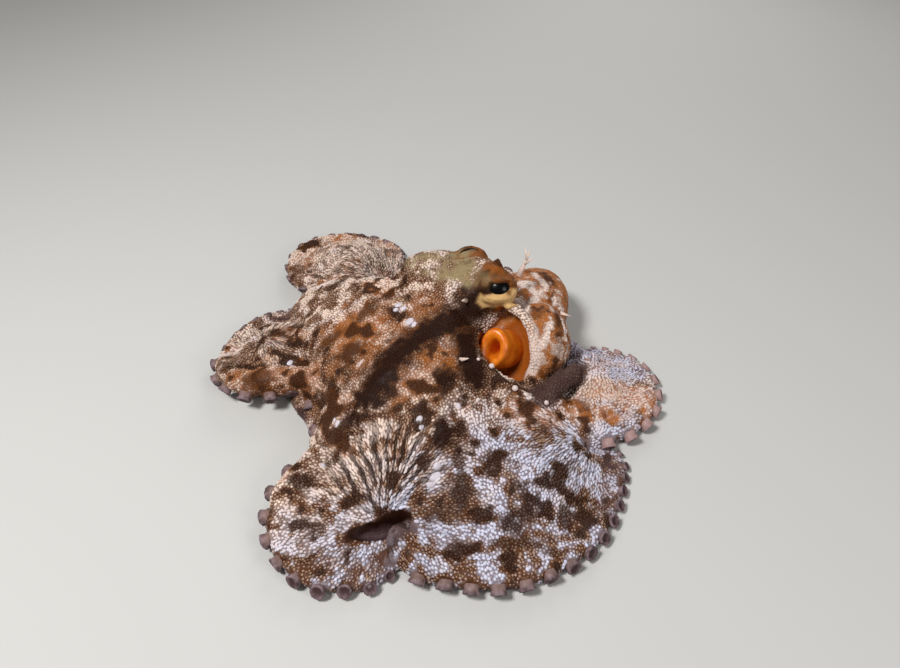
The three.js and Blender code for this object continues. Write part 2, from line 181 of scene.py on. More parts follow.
# The beaded edge of the web under the funnel, from the head side outwards.
MANTLE_LIP = (
    (42, 18, 52), (47, 17.5, 50.5), (51.5, 13, 48.5), (54.5, 6, 45), (55.8, -1, 39), (55.8, -5, 31),
    (53.5, -6, 22),
)
TUCKED_END = ((56, -25, 22), (63, -20, 24), (71, -12, 23), (78, -4, 20), (81, 3, 17))
CURLED_TIP = ((-6, -94, 7), (-10, -98.5, 9), (-14.5, -100.5, 10.5))
FRINGE = (
    (24, -14, 41), (31, -16, 38.5), (38, -22, 36), (43, -26, 33), (52, -29, 28.5), (61, -28, 24),
    (76, -21, 17),
)
# Distance between suckers as a multiple of their radius, and the arms whose suckers are turned to view.
SUCKER_STEP = 2.7
SUCKERS_FROM, SUCKERS_TO = 0.22, 0.985
TURNED_OUT = {"left_1": (0.3, 0.62), "left_2": (0.3, 0.9), "left_3": (0.3, 1.0), "left_4": (0.35, 0.95)}
WART_PATCHES = tuple((place, (radius * 1.5, radius * 1.2), 0, 1.0) for place, radius in WARTS)
# Pointed papillae: foot, tip, foot radius.
PAPILLAE = (
    ((18.5, 21.5, 53.5), (16.5, 17, 57), 1.5), ((75.5, 36, 32), (81.5, 34.5, 31), 1.3),
    ((76, 8, 16), (78, 2, 19), 1.7), ((15.5, -17, 45), (19.5, -18.5, 47.5), 1.4),
    ((50, 43, 55), (56, 50, 67), 1.8),
    ((53, 46, 61), (58, 46, 65), 1.0), ((54, 47, 63), (53, 52, 69), 0.8), ((45, 30, 60), (46, 28, 63), 1.1),
)
# Beads on the web's edge: place and radius.
KNOBS = (
    ((32, -16.5, 40), 1.6), ((44, -27, 34), 1.7), ((61, -29, 25), 1.4), ((25, -13.5, 42), 1.0),
    ((52, -30, 30), 1.1),
)
# The height from which warts are dropped on the skin, and a wart's length, width and height over its radius.
WART_DROP = 120
WART_SHARES = (1.15, 0.85, 0.34)
KNOB_LEAN = (0, -0.3, 1.0)
WART_FINENESS = 14

# Soft cords that shape the head and the edges: path and radii along it.
HORN_RADII = (9.0, 6.8, 4.4, 1.8)
BROW_CORDS = (
    (((20, 46, 61), (28, 40, 64), (35, 34, 65)), (3.4, 4.2, 4.6)),
    (((28, 24, 63), (32, 22, 65.6), (38, 21.4, 66.4), (44, 23, 64)), (1.6, 2.4, 2.4, 1.5)),
    (((30, 20.5, 56), (36, 19.4, 56), (42, 20.4, 56.5)), (2.6, 3.0, 2.6)),
)
EDGE_CORDS = (
    (MANTLE_LIP, (1.8, 2.2, 2.4, 2.4, 2.2, 1.8)), (TUCKED_END, (3.0, 4.6, 5.4, 5.2, 3.6)),
    (CURLED_TIP, (3.0, 4.6, 6.2)), (FRINGE, (1.2, 1.6, 1.7, 1.7, 1.6, 1.4, 1.0)),
)
# The swelling of the crown beside the funnel.
CROWN_SWELLING = dict(centre=(5, -20, 44), semi=(10, 8.5, 7.5))

# Profiles turned about an axis, from the root over the edge and into the middle: radius and height.
SUCKER_PROFILE = ((0.0, -0.3), (0.9, -0.3), (0.82, 0.3), (1.0, 0.8), (0.84, 0.92), (0.46, 0.6), (0.0, 0.5))
FUNNEL_PROFILE = (
    (0.05, -5), (8.0, -5), (11.5, -1), (12.4, 4), (11.6, 9), (10.3, 13), (9.9, 16), (10.2, 18.4), (9.7, 20.4),
    (8.2, 21.3), (6.2, 20.9), (4.8, 19.6), (3.7, 17.5), (3.2, 12), (2.0, 8), (0.05, 7),
)

# ---------- noise and regions of the markings ----------
# Noise over the skin: width of its features, seed and octaves.
RAGGED_NOISE, BROAD_NOISE, PATCHY_NOISE = (7, 5, 2), (22, 8, 2), (9, 11, 2)
FINE_NOISE, CREAM_NOISE, COOL_NOISE, PLEAT_NOISE = (3.6, 37), (4, 29), (12, 17), (16, 3)
FOLD_NOISE, CREASE_NOISE, CLUMP_NOISE = (15, 21, 2), (5, 23), (6, 31)

# Regions with colouring of their own: centre, reach, and the shares of it where they start and end fading.
CROWN_REGION = ((-22, -2), (52, 40), 0.6, 1.15)
LEFT_REGION = ((-92, 6), (44, 34), 0.6, 1.1)
RIGHT_REGION = ((99, 10), (38, 40), 0.75, 1.0)
BACK_REGION = ((-50, 118), (44, 38), 0.75, 1.05)
COOL_REGION = ((98, 18, 10), (34, 26, 30), 0.7, 1.1)
# The greenish brow: two paths and their widths.
BROW_NEAR, BROW_NEAR_WIDTH = ((17, 36, 61), (25, 30, 63), (31, 27, 64)), 8.5
BROW_FAR, BROW_FAR_WIDTH = ((-4, 56, 60), (14, 44, 62)), 17
UNWRAP_SPAN = 340.0
PATCH_SIZE = 0.0030
# Where the granules are parted into pieces: along Y, then along X on the crown and behind it.
NEAR_EDGE, FAR_EDGE, CROWN_HALF, FAR_SPLIT = -45, 40, 62, -20

# ---------- surfaces ----------
# What each material sets on its shader.
SKIN_SURFACE = {
    "Subsurface Weight": 0.12, "Subsurface Radius": (1.0, 0.45, 0.25), "Subsurface Scale": 1.2 * MM,
    "Specular IOR Level": 0.07, "Coat Weight": 0.015, "Coat Roughness": 0.3,
}
SUCKER_SURFACE = {"Roughness": 0.5, "Specular IOR Level": 0.25}
FUNNEL_SURFACE = {
    "Roughness": 0.35, "Subsurface Weight": 0.25, "Subsurface Radius": (1.0, 0.4, 0.1),
    "Subsurface Scale": 2 * MM,
}
EYE_SURFACE = {"Roughness": 0.3, "Specular IOR Level": 0.08, "Coat Weight": 0.12, "Coat Roughness": 0.03}
FLOOR_SURFACE = {"Roughness": 0.9}
# How square the pupil is, and how much smaller than the lids' opening.
PUPIL_POWER, PUPIL_MARGIN = 2.6, (0.7, 0.5)

# ---------- the stage ----------
# In metres: each lamp's place, aim, width and watts, then the camera.
LAMPS = (
    ("key", (-0.42, -0.3, 0.85), (0, 0, 0.02), 0.24, 10),
    ("fill", (0.7, -0.65, 0.5), (0.02, 0, 0.02), 0.4, 3.2),
    ("back", (0.3, 0.9, 0.6), (0, 0, 0.02), 0.6, 3.0),
)
WORLD_STRENGTH = 0.2
FLOOR_HALF = 6
CAMERA_PLACE, CAMERA_TILT = (0.010, -0.280, 0.300), 48
LENS, SENSOR_WIDTH = 28, 36
CAMERA_SEES = (0.01, 50)


# ---------- what a user may change ----------
def length(name, text, default):
    """A size that the panel shows, given in millimetres."""
    return bpy.props.FloatProperty(
        name=name, description=text, default=default * MM, unit="LENGTH", precision=5
    )


def paint(name, text, default):
    """A colour that the panel shows."""
    return bpy.props.FloatVectorProperty(
        name=name, description=text, default=default, subtype="COLOR", size=3, min=0, max=1
    )


class OctopusSizes(bpy.types.PropertyGroup):
    """Sizes of the skin's relief and of the small things on it."""

    grid: length("Skin grid", "Distance between the points of the skin's mesh", 1.1)
    coat_depth: length("Coat depth", "How far the skin lies inside the frame's solids", 0.5)
    fold_depth: length("Fold depth", "Depth of the loose folds all over the skin", 0.9)
    granule_spacing: length("Granule spacing", "Distance between neighbouring granules", 1.3)
    granule_radius: length("Granule radius", "Half width of a granule", 0.82)
    granule_height: length("Granule height", "How far a granule stands out", 0.52)
    sucker_radius: length("Largest sucker", "Half width of the largest suckers", 4.3)
    smallest_sucker: length("Smallest sucker", "Half width of the suckers near an arm's end", 0.9)


class OctopusColours(bpy.types.PropertyGroup):
    """Colours of the living skin."""

    ground: paint("Ground", "Brown skin between the granules", (0.09, 0.032, 0.013))
    # Besides the blotches and the bar, the dark colour is laid as painted shade in the pleats' hollows and
    # inside the curl's hollow, and as the painted shadow along the mantle's mouth.
    dark: paint("Dark", "Blotches and the bar through the eye", (0.016, 0.0045, 0.002))
    orange: paint("Orange", "Orange-brown patches", (0.4, 0.12, 0.018))
    tan: paint("Tan", "Granules on brown skin", (0.35, 0.22, 0.145))
    cream: paint("Cream", "Pale granules in warm places", (0.78, 0.6, 0.5))
    lavender: paint("Lavender", "Pale granules in cool places", (0.62, 0.61, 0.73))
    rim: paint("Rim", "Web margin and suckers", (0.1, 0.06, 0.065))
    brow: paint("Brow", "Greenish patch over the eyes", (0.33, 0.25, 0.13))
    warm: paint("Warm patch", "Smooth patch under each eye", (0.56, 0.35, 0.15))
    cavity: paint("Cavity", "Inside of the mantle's mouth", (0.3, 0.075, 0.008))
    funnel: paint("Funnel", "Outside of the funnel", (0.72, 0.2, 0.008))
    funnel_shade: paint("Funnel shade", "Mottling on the funnel", (0.55, 0.11, 0.004))
    # Painted shade inside the funnel's mouth.
    bore_shade: paint("Bore", "Inside of the funnel", (0.16, 0.06, 0.008))
    sucker_dark: paint("Sucker dark", "Dark mottling of the suckers", (0.05, 0.026, 0.026))
    sucker_pale: paint("Sucker pale", "Pale mottling of the suckers", (0.22, 0.15, 0.17))
    sucker_foot: paint("Sucker foot", "Foot of each sucker", (0.24, 0.15, 0.12))
    sucker_pink: paint("Sucker pink", "Suckers of the arm to the right", (0.42, 0.26, 0.24))
    # Painted shade inside each sucker's cup.
    sucker_cup_shade: paint("Sucker cup", "Inside of each sucker", (0.05, 0.022, 0.022))
    iris: paint("Iris", "Ring round the pupil", (0.3, 0.13, 0.03))
    iris_dark: paint("Iris fibres", "Dark fibres of the iris", (0.06, 0.02, 0.006))
    pupil: paint("Pupil", "Bar-shaped pupil", (0.0015, 0.0012, 0.0015))
    floor: paint("Floor", "Plain floor of the stage", (0.5, 0.49, 0.47))


# ---------- small helpers ----------
def smooth(values, low, high):
    """0 below low, 1 above high, and a smooth step between."""
    share = np.clip((np.asarray(values, float) - low) / (high - low), 0, 1)
    return share * share * (3 - 2 * share)


def mixed(a, b, share):
    """The value at a share of the way from a to b."""
    return a + (b - a) * share


def unit(vectors):
    """Vectors scaled to length 1."""
    vectors = np.asarray(vectors, float)
    return vectors / np.maximum(np.linalg.norm(vectors, axis=-1, keepdims=True), 1e-9)


def noise_field(points, size, seed, octaves=1):
    """Smooth noise at each point, from about -1 to 1, with features about size wide."""
    total = np.zeros(len(points))
    for octave in range(octaves):
        scaled = (points * (2**octave / size) + seed * 7.31).tolist()
        total += np.array([noise.noise(p) for p in scaled]) / 2**octave
    return total * 1.6


def stepped(values, place):
    """A value from a list at a place along it, smooth between the entries."""
    values = np.asarray(values, float)
    low = np.clip(np.floor(place).astype(int), 0, len(values) - 2)
    return mixed(values[low], values[low + 1], smooth(place - low, 0, 1))


def new_object(name, bm):
    """A mesh object at the origin from a bmesh in metres, smooth all over."""
    mesh = bpy.data.meshes.new(name)
    bm.to_mesh(mesh)
    bm.free()
    return link_mesh(name, mesh)


def link_mesh(name, mesh):
    """An object at the origin for a mesh, shaded smooth."""
    mesh.shade_smooth()
    made = bpy.data.objects.new(name, mesh)
    bpy.context.scene.collection.objects.link(made)
    return made


BALLS = {}


def ball(sides, rings):
    """A round form's points and faces, made once for each fineness."""
    if (sides, rings) not in BALLS:
        bm = bmesh.new()
        bmesh.ops.create_uvsphere(bm, u_segments=sides, v_segments=rings, radius=1)
        BALLS[sides, rings] = points_and_faces(bm)
    return BALLS[sides, rings]


def points_and_faces(bm):
    """The points of a bmesh as one array, and its faces as lists of indices."""
    bm.verts.index_update()
    points = np.array([v.co for v in bm.verts], float)
    faces = [[v.index for v in f.verts] for f in bm.faces]
    bm.free()
    return points, faces


@contextmanager
def edited(mesh):
    """The mesh as a bmesh, written back at the end."""
    bm = bmesh.new()
    bm.from_mesh(mesh)
    yield bm
    bm.to_mesh(mesh)
    bm.free()


def turned(profile, steps, merge):
    """A profile turned about Z, as a bmesh with its double points merged."""
    bm = bmesh.new()
    line = [bm.verts.new((r, 0, z)) for r, z in profile]
    edges = [bm.edges.new(pair) for pair in zip(line[:-1], line[1:])]
    bmesh.ops.spin(
        bm, geom=line + edges, cent=(0, 0, 0), axis=(0, 0, 1), angle=2 * math.pi, steps=steps, use_merge=True
    )
    bmesh.ops.remove_doubles(bm, verts=bm.verts, dist=merge)
    return bm


def store(mesh, name, values):
    """Keeps one value for each vertex, as a named attribute."""
    mesh.attributes.new(name, "FLOAT", "POINT").data.foreach_set("value", np.asarray(values, np.float32))


class Forms:
    """Closed shells, in millimetres, gathered to be fused into one."""

    def __init__(self):
        self.points, self.faces, self.count = [], [], 0

    def add(self, points, faces):
        self.points.append(points)
        self.faces += [[index + self.count for index in face] for face in faces]
        self.count += len(points)

    def made(self, name):
        mesh = bpy.data.meshes.new(name)
        mesh.from_pydata((np.vstack(self.points) * MM).tolist(), [], self.faces)
        return link_mesh(name, mesh)


def apply_modifiers(made):
    """Puts the result of an object's modifiers into its own mesh."""
    evaluated = made.evaluated_get(bpy.context.evaluated_depsgraph_get())
    mesh = bpy.data.meshes.new_from_object(evaluated)
    made.modifiers.clear()
    made.data = mesh


def coordinates(mesh):
    """Every vertex's place, in millimetres."""
    flat = np.empty(len(mesh.vertices) * 3, np.float32)
    mesh.vertices.foreach_get("co", flat)
    return flat.reshape(-1, 3).astype(float) / MM


def place_vertices(mesh, points):
    """Moves a mesh's vertices to points given in millimetres."""
    mesh.vertices.foreach_set("co", (points * MM).astype(np.float32).ravel())
    mesh.update()


def vertex_normals(mesh):
    """Every vertex's normal."""
    flat = np.empty(len(mesh.vertices) * 3, np.float32)
    mesh.vertex_normals.foreach_get("vector", flat)
    return flat.reshape(-1, 3).astype(float)


def turn_matrix(turn, lean=0.0):
    """The axes of a form leaned about its own X axis, then turned in plan."""
    return np.array(Matrix.Rotation(math.radians(turn), 3, "Z") @ Matrix.Rotation(math.radians(lean), 3, "X"))


def ellipsoid(forms, centre, semi, turn=0.0, lean=0.0, detail=32):
    """Adds an ellipsoid, leaned about X and then turned in plan."""
    points, faces = ball(detail, detail // 2)
    forms.add((points * np.array(semi)) @ turn_matrix(turn, lean).T + np.array(centre), faces)


def bent_sphere(forms, sides, rings, move):
    """A ball whose points are moved, as one array in millimetres, by a function of their first places."""
    points, faces = ball(sides, rings)
    forms.add(move(points), faces)


def chain(forms, path, radii, step=0.5):
    """A soft cord of balls along a path, which the even grid fuses into one."""
    path = np.asarray(path, float)
    spans = np.linalg.norm(np.diff(path, axis=0), axis=1)
    along = np.concatenate(([0], np.cumsum(spans)))
    smallest = min(radii)
    for place in np.arange(0, along[-1] + 1e-6, smallest * step):
        centre = [np.interp(place, along, path[:, axis]) for axis in range(3)]
        radius = float(np.interp(place / along[-1], np.linspace(0, 1, len(radii)), radii))
        ellipsoid(forms, centre, (radius,) * 3, detail=12)


# ---------- the crown, arms and webs ----------
def skirt_reach(azimuth):
    """How far the crown's skirt reaches at an azimuth."""
    steps = len(SKIRT_REACH)
    place = (azimuth / (2 * math.pi)) % 1 * steps
    low = np.floor(place).astype(int)
    reach = np.array(SKIRT_REACH, float)
    return mixed(reach[low % steps], reach[(low + 1) % steps], smooth(place - low, 0, 1))


def tent_height(share, azimuth):
    """Height of the crown at a share of the way from its top to its skirt."""
    drop = FUNNEL_SIDE_DROP * smooth(np.cos(azimuth), 0.1, 1) * smooth(share, 0, 0.5)
    return TENT_TOP[2] * (1 - drop) * np.maximum(0, 1 - share * share) ** TENT_FULLNESS


def crown_height(x, y):
    """Height of the crown over points of the floor."""
    share = np.zeros_like(np.asarray(x, float))
    for _ in range(8):
        dx = x - TENT_TOP[0] * (1 - share)
        dy = y - TENT_TOP[1] * (1 - share)
        share = np.clip(np.hypot(dx, dy) / skirt_reach(np.arctan2(dy, dx)), 0, 1)
    return tent_height(share, np.arctan2(y - TENT_TOP[1] * (1 - share), x - TENT_TOP[0] * (1 - share)))


def crown_move(points):
    """Bends a ball into the crown."""
    azimuth = np.arctan2(points[:, 1], points[:, 0])
    share = np.minimum(1, np.hypot(points[:, 0], points[:, 1]))
    out = skirt_reach(azimuth) * share
    height = np.where(points[:, 2] > 0, tent_height(share, azimuth), -FLOOR_SINK * (1 - share))
    x = np.cos(azimuth) * out + TENT_TOP[0] * (1 - share)
    y = np.sin(azimuth) * out + TENT_TOP[1] * (1 - share)
    return np.stack((x, y, height), axis=1)


def curl_reach(arm, share):
    """An arm's distance from its curl's centre, at a share of its sweep."""
    return stepped(arm["reach"], np.clip(share, 0, 1) * (len(arm["reach"]) - 1))


def arm_route(arm, samples=241):
    """Even points along an arm's middle line in plan, and the directions there."""
    root = math.radians(arm["root"])
    steps = round(abs(arm["sweep"]) / 25)
    shares = np.linspace(0, 1, steps + 1)
    angle = np.radians(arm["start"] + arm["sweep"] * shares)
    radius = curl_reach(arm, shares)
    curled = np.stack((np.cos(angle) * radius, np.sin(angle) * radius), axis=1) + np.array(arm["curl"])
    knots = np.vstack(([math.cos(root) * ROOT_REACH, math.sin(root) * ROOT_REACH], curled))
    fine = through_knots(knots, 24)
    spans = np.linalg.norm(np.diff(fine, axis=0), axis=1)
    along = np.concatenate(([0], np.cumsum(spans)))
    places = np.linspace(0, along[-1], samples)
    route = np.stack([np.interp(places, along, fine[:, axis]) for axis in range(2)], axis=1)
    return route, unit(np.gradient(route, axis=0)), along[-1]


def through_knots(knots, per_span):
    """A centripetal spline through points."""
    ends = np.vstack((2 * knots[0] - knots[1], knots, 2 * knots[-1] - knots[-2]))
    found = []
    for a, b, c, d in zip(ends[:-3], ends[1:-2], ends[2:-1], ends[3:]):
        gaps = [max(np.linalg.norm(q - p) ** 0.5, 1e-6) for p, q in ((a, b), (b, c), (c, d))]
        start = (b - a) / gaps[0] - (c - a) / (gaps[0] + gaps[1]) + (c - b) / gaps[1]
        end = (c - b) / gaps[1] - (d - b) / (gaps[1] + gaps[2]) + (d - c) / gaps[2]
        start, end = start * gaps[1], end * gaps[1]
        for t in np.linspace(0, 1, per_span, endpoint=False):
            cubic = 2 * b - 2 * c + start + end
            square = -3 * b + 3 * c - 2 * start - end
            found.append(cubic * t**3 + square * t**2 + start * t + b)
    return np.array([*found, knots[-1]])


def arm_radius(share):
    """An arm's radius at a share of its length."""
    return mixed(ARM_ROOT_RADIUS, ARM_TIP_RADIUS, np.asarray(share, float) ** TAPER)


def arm_middle(arm, share, x, y):
    """Height of an arm's middle line."""
    by, start, end = arm["lift"]
    raised = by * smooth(share, start, start + 0.12) * (1 - smooth(share, end - 0.08, end + 0.1))
    resting = arm_radius(share) - FLOOR_SINK + raised
    return np.maximum(resting, crown_height(x, y) - arm_radius(share) * 0.8)


def arm_move(arm, inset):
    """Bends a ball into an arm, thinner all round by inset."""
    route, heading, _ = arm_route(arm)
    places = np.linspace(0, 1, len(route))

    def move(points):
        share = np.clip(np.arccos(np.clip(points[:, 2], -1, 1)) / math.pi, 0, 1)
        x, y = (np.interp(share, places, route[:, axis]) for axis in range(2))
        tx, ty = (np.interp(share, places, heading[:, axis]) for axis in range(2))
        out = np.hypot(points[:, 0], points[:, 1])
        scale = np.where(out > 1e-6, (arm_radius(share) - inset) / np.maximum(out, 1e-6), 0)
        across, up = points[:, 0] * scale, points[:, 1] * scale
        return np.stack((x + ty * across, y - tx * across, arm_middle(arm, share, x, y) + up), axis=1)

    return move


def web_reach(arm, azimuth):
    """How far the web inside a curl reaches at an azimuth, and the share of the arm's sweep there."""
    start = arm["start"] if arm["sweep"] > 0 else arm["start"] + arm["sweep"]
    around = (np.degrees(azimuth) - start) % 360
    swept = abs(arm["sweep"])
    share = np.where(around <= swept, around / swept, (360 - around) / (360 - swept))
    curled = share if arm["sweep"] > 0 else 1 - share
    return curl_reach(arm, curled), curled


def web_move(arm):
    """Bends a ball into the web inside a curled arm."""
    def move(points):
        azimuth = np.arctan2(points[:, 1], points[:, 0])
        upper = points[:, 2] > -0.01
        out = np.clip(np.arccos(np.clip(np.abs(points[:, 2]), 0, 1)) / (math.pi / 2), 0, 1)
        reach, share = web_reach(arm, azimuth)
        x = arm["curl"][0] + np.cos(azimuth) * reach * out
        y = arm["curl"][1] + np.sin(azimuth) * reach * out
        along = mixed(CURL_START, 1, share)
        rim = arm_middle(arm, along, x, y) + arm_radius(along) * 0.5
        top = mixed(arm["pleat"], rim, smooth(out, 0, 1))
        return np.stack((x, y, np.where(upper, top, -FLOOR_SINK)), axis=1)

    return move


# ---------- the skin's form ----------
def add_head(forms, inset):
    """The head's lobes, the swellings of the eyes, the brows and the horn."""
    for centre, semi in HEAD_LOBES:
        ellipsoid(forms, centre, [side - inset for side in semi])
    for eye in EYES.values():
        centre = np.array(eye["centre"], float)
        behind = centre + unit(np.array(HEAD_LOBES[0][0]) - centre) * EYE_SET
        ellipsoid(forms, behind, (EYE_BULGE,) * 3)
        ellipsoid(forms, centre, (EYE_RADIUS + 1.1,) * 3)
    chain(forms, HORN, HORN_RADII)
    for path, radii in BROW_CORDS:
        chain(forms, path, radii)
    ellipsoid(forms, **CROWN_SWELLING)


def add_mantle(forms, inset):
    """The mantle's two lobes."""
    for centre, semi, turn in MANTLE_LOBES:
        ellipsoid(forms, centre, [side - inset for side in semi], turn)


def sucker_places(sizes):
    """Every sucker along the arms: its arm, share, place on the arm's side, direction outward and radius."""
    found = []
    largest, smallest = sizes.sucker_radius / MM, sizes.smallest_sucker / MM
    for name, arm in ARMS.items():
        route, heading, length_mm = arm_route(arm, 400)
        share = SUCKERS_FROM
        while share < SUCKERS_TO:
            radius = mixed(largest, smallest, share**5)
            index = int(share * (len(route) - 1))
            side = np.array((heading[index, 1], -heading[index, 0]))
            if side @ (route[index] - np.array(arm["curl"], float)) < 0:
                side = -side
            level = arm_middle(arm, share, *route[index][:, None])[0] - arm_radius(share) * 0.45
            low = max(level, radius * mixed(1.4, 1.0, smooth(share, 0.5, 0.75)))
            place = np.array((*(route[index] + side * arm_radius(share)), low))
            found.append((name, share, place, side, radius))
            share += radius * SUCKER_STEP / length_mm
    return found


def add_edges(forms, sizes):
    """The mantle's lip, the web's beaded edge, the arms' ends beside them, and a rise under each sucker."""
    for name, share, place, side, radius in sucker_places(sizes):
        first, last = TURNED_OUT.get(name, (1, 1))
        if first < share < last:
            centre = place - np.array((*side, 0)) * radius * 0.75
            ellipsoid(forms, centre, (radius * 0.95,) * 3, detail=12)
    for path, radii in EDGE_CORDS:
        chain(forms, path, radii)


def cut(skin, centre, semi, turn, lean):
    """Takes an ellipsoid out of the skin."""
    forms = Forms()
    ellipsoid(forms, centre, semi, turn, lean, detail=40)
    cutter = forms.made("cutter")
    taken = skin.modifiers.new("cut", "BOOLEAN")
    taken.object, taken.operation, taken.solver = cutter, "DIFFERENCE", "MANIFOLD"
    apply_modifiers(skin)
    bpy.data.objects.remove(cutter)


def even_grid(skin, size, passes):
    """Fuses all that overlaps on an even grid, then relaxes it."""
    grid = skin.modifiers.new("grid", "REMESH")
    grid.mode, grid.voxel_size = "VOXEL", size
    relax = skin.modifiers.new("relax", "SMOOTH")
    relax.factor, relax.iterations = 0.5, passes
    apply_modifiers(skin)


def join_into(skin, added):
    """Puts another object's shells into the skin's mesh."""
    with edited(skin.data) as bm:
        bm.from_mesh(added.data)
    bpy.data.objects.remove(added)


def keep_largest(skin):
    """Drops closed pockets and specks, and keeps the one outer shell."""
    with edited(skin.data) as bm:
        unseen = set(bm.verts)
        shells = []
        while unseen:
            shell, front = set(), [unseen.pop()]
            while front:
                vertex = front.pop()
                shell.add(vertex)
                for edge in vertex.link_edges:
                    other = edge.other_vert(vertex)
                    if other in unseen:
                        unseen.remove(other)
                        front.append(other)
            shells.append(shell)
        shells.sort(key=len)
        for shell in shells[:-1]:
            bmesh.ops.delete(bm, geom=list(shell), context="VERTS")


def pleat_relief(points, normals):
    """Height of the gathers round each pleat, how strongly a point lies in one, and painted shade along the
    hollows between the gathers.
    """
    relief, held, groove_shades = (np.zeros(len(points)) for _ in range(3))
    wander = noise_field(points, *PLEAT_NOISE)
    for pleat in PLEATS:
        away = points[:, :2] - np.array(pleat["centre"])
        distance = np.hypot(away[:, 0], away[:, 1])
        angle = np.arctan2(away[:, 1], away[:, 0])
        window = smooth(distance, 1.5, 9) * (1 - smooth(distance, pleat["reach"] * 0.5, pleat["reach"]))
        facing = smooth(np.cos(angle - math.radians(pleat["toward"])), 0.25, 0.85)
        window = window * smooth(normals[:, 2], -0.1, 0.4) * mixed(pleat["rest"], 1, facing)
        inner = np.cos(angle * (pleat["folds"] // 2) + wander * 2)
        outer = np.cos(angle * pleat["folds"] + wander * 3)
        wave = mixed(inner, outer, smooth(distance, 10, 20))
        relief += pleat["depth"] * window * wave
        held = np.maximum(held, window)
        # Painted shade in the hollows of the gathers, stronger for the deeper pleats.
        groove_shades = np.maximum(groove_shades, window * smooth(-wave, -0.15, 0.6) * pleat["depth"] / DEEPEST_PLEAT)
    return relief, held, groove_shades


def flow_directions(points):
    """Which way granules and streaks run: out from the crown's top, and out from each pleat near it."""
    flow = unit(points[:, :2] - TENT_TOP[:2]) * 0.35
    for pleat in PLEATS:
        away = points[:, :2] - np.array(pleat["centre"])
        distance = np.hypot(away[:, 0], away[:, 1])
        pull = (1 - smooth(distance, pleat["reach"] * 0.5, pleat["reach"] * 1.1))[:, None]
        flow = mixed(flow, unit(away), pull)
    return unit(np.column_stack((flow, np.zeros(len(points)))))


def eye_frame(eye):
    """Right, up and gaze directions of an eye."""
    gaze = unit(eye["gaze"])
    right = unit(np.cross(gaze, (0, 0, 1)) if abs(gaze[2]) < 0.9 else np.array((1, 0.15, 0)))
    right = unit(right - gaze * (right @ gaze))
    if right[0] < 0:
        right = -right
    return right, unit(np.cross(gaze, right)) * np.sign(np.cross(gaze, right)[1] + 1e-9), gaze


def open_lids(points):
    """Parts the skin over each eye: inside the opening it sinks behind the eyeball."""
    moved = points.copy()
    for eye in EYES.values():
        right, up, gaze = eye_frame(eye)
        away = points - np.array(eye["centre"])
        distance = np.linalg.norm(away, axis=1)
        across, height, ahead = away @ right, away @ up, away @ gaze
        wide, tall = eye["opening"]
        outline = np.hypot(across / wide, height / tall)
        outline = np.maximum(outline, (height - eye["shade"]) / tall * 3 + 1)
        inside = (1 - smooth(outline, 0.85, 1.12)) * (ahead > 0) * (distance < EYE_RADIUS + 6)
        lip = np.exp(-((outline - 1.45) ** 2) / 0.06) * (ahead > 0) * (distance < EYE_RADIUS + 3) * 0.7
        sunk = np.minimum(distance, EYE_RADIUS - 2.4)
        wanted = mixed(distance + lip, sunk, inside)
        moved += unit(away) * (wanted - distance)[:, None]
    return moved


def refine_near_eyes(skin):
    """Halves the grid round the eyes, where the lids need it."""
    centres = [Vector(eye["centre"]) * MM for eye in EYES.values()]
    reach = (EYE_RADIUS + 4) * MM
    with edited(skin.data) as bm:
        near = [e for e in bm.edges if any((e.verts[0].co - c).length < reach for c in centres)]
        bmesh.ops.subdivide_edges(bm, edges=near, cuts=1, use_grid_fill=True)


def flat_bottom(skin):
    """Cuts the skin level with the floor and closes it."""
    with edited(skin.data) as bm:
        whole = bm.verts[:] + bm.edges[:] + bm.faces[:]
        bmesh.ops.bisect_plane(bm, geom=whole, plane_co=(0, 0, 0), plane_no=(0, 0, -1), clear_outer=True)
        rim = [e for e in bm.edges if e.is_boundary]
        bmesh.ops.triangle_fill(bm, use_beauty=False, use_dissolve=False, edges=rim, normal=(0, 0, -1))
        for face in bm.faces:
            face.smooth = face.calc_center_median().z > 1e-6


# ---------- markings ----------
def spot_strength(points, spots, wobble, flat=True):
    """How strongly each point lies in any of the spots, with ragged edges."""
    found = np.zeros(len(points))
    for spot in spots:
        if flat:
            centre, reach, turn, strength = spot
            away = points[:, :2] - np.array(centre)
            a = math.radians(turn)
            local = np.column_stack((
                away[:, 0] * math.cos(a) + away[:, 1] * math.sin(a),
                away[:, 1] * math.cos(a) - away[:, 0] * math.sin(a),
            ))
        else:
            centre, reach, strength = spot
            local = points - np.array(centre)
        distance = np.linalg.norm(local / np.array(reach), axis=1) + wobble
        found = np.maximum(found, strength * (1 - smooth(distance, 0.35, 1.3)))
    return found


def near_path(points, path, width, core=0.55):
    """1 on a path through points out to a share of width, core, and falling to 0 at width from it."""
    nearest = np.full(len(points), 1e9)
    for a, b in zip(path[:-1], path[1:]):
        a, b = np.array(a, float), np.array(b, float)
        along = np.clip((points - a) @ (b - a) / ((b - a) @ (b - a)), 0, 1)
        nearest = np.minimum(nearest, np.linalg.norm(points - a - along[:, None] * (b - a), axis=1))
    return 1 - smooth(nearest, width * core, width)


def in_region(points, region):
    """1 inside a region, in plan or in space, fading to 0 towards its edge."""
    centre, reach, start, end = region
    return 1 - smooth(np.linalg.norm((points[:, :len(centre)] - centre) / reach, axis=1), start, end)


def in_mantle(points):
    """1 on the mantle bag, 0 elsewhere."""
    held = np.zeros(len(points))
    for centre, semi, turn in MANTLE_LOBES:
        a = math.radians(turn)
        away = points - np.array(centre)
        local = np.column_stack((
            away[:, 0] * math.cos(a) + away[:, 1] * math.sin(a),
            away[:, 1] * math.cos(a) - away[:, 0] * math.sin(a), away[:, 2],
        ))
        held = np.maximum(held, 1 - smooth(np.linalg.norm(local / np.array(semi), axis=1), 1.04, 1.14))
    return held * smooth(points[:, 2], 8, 13)


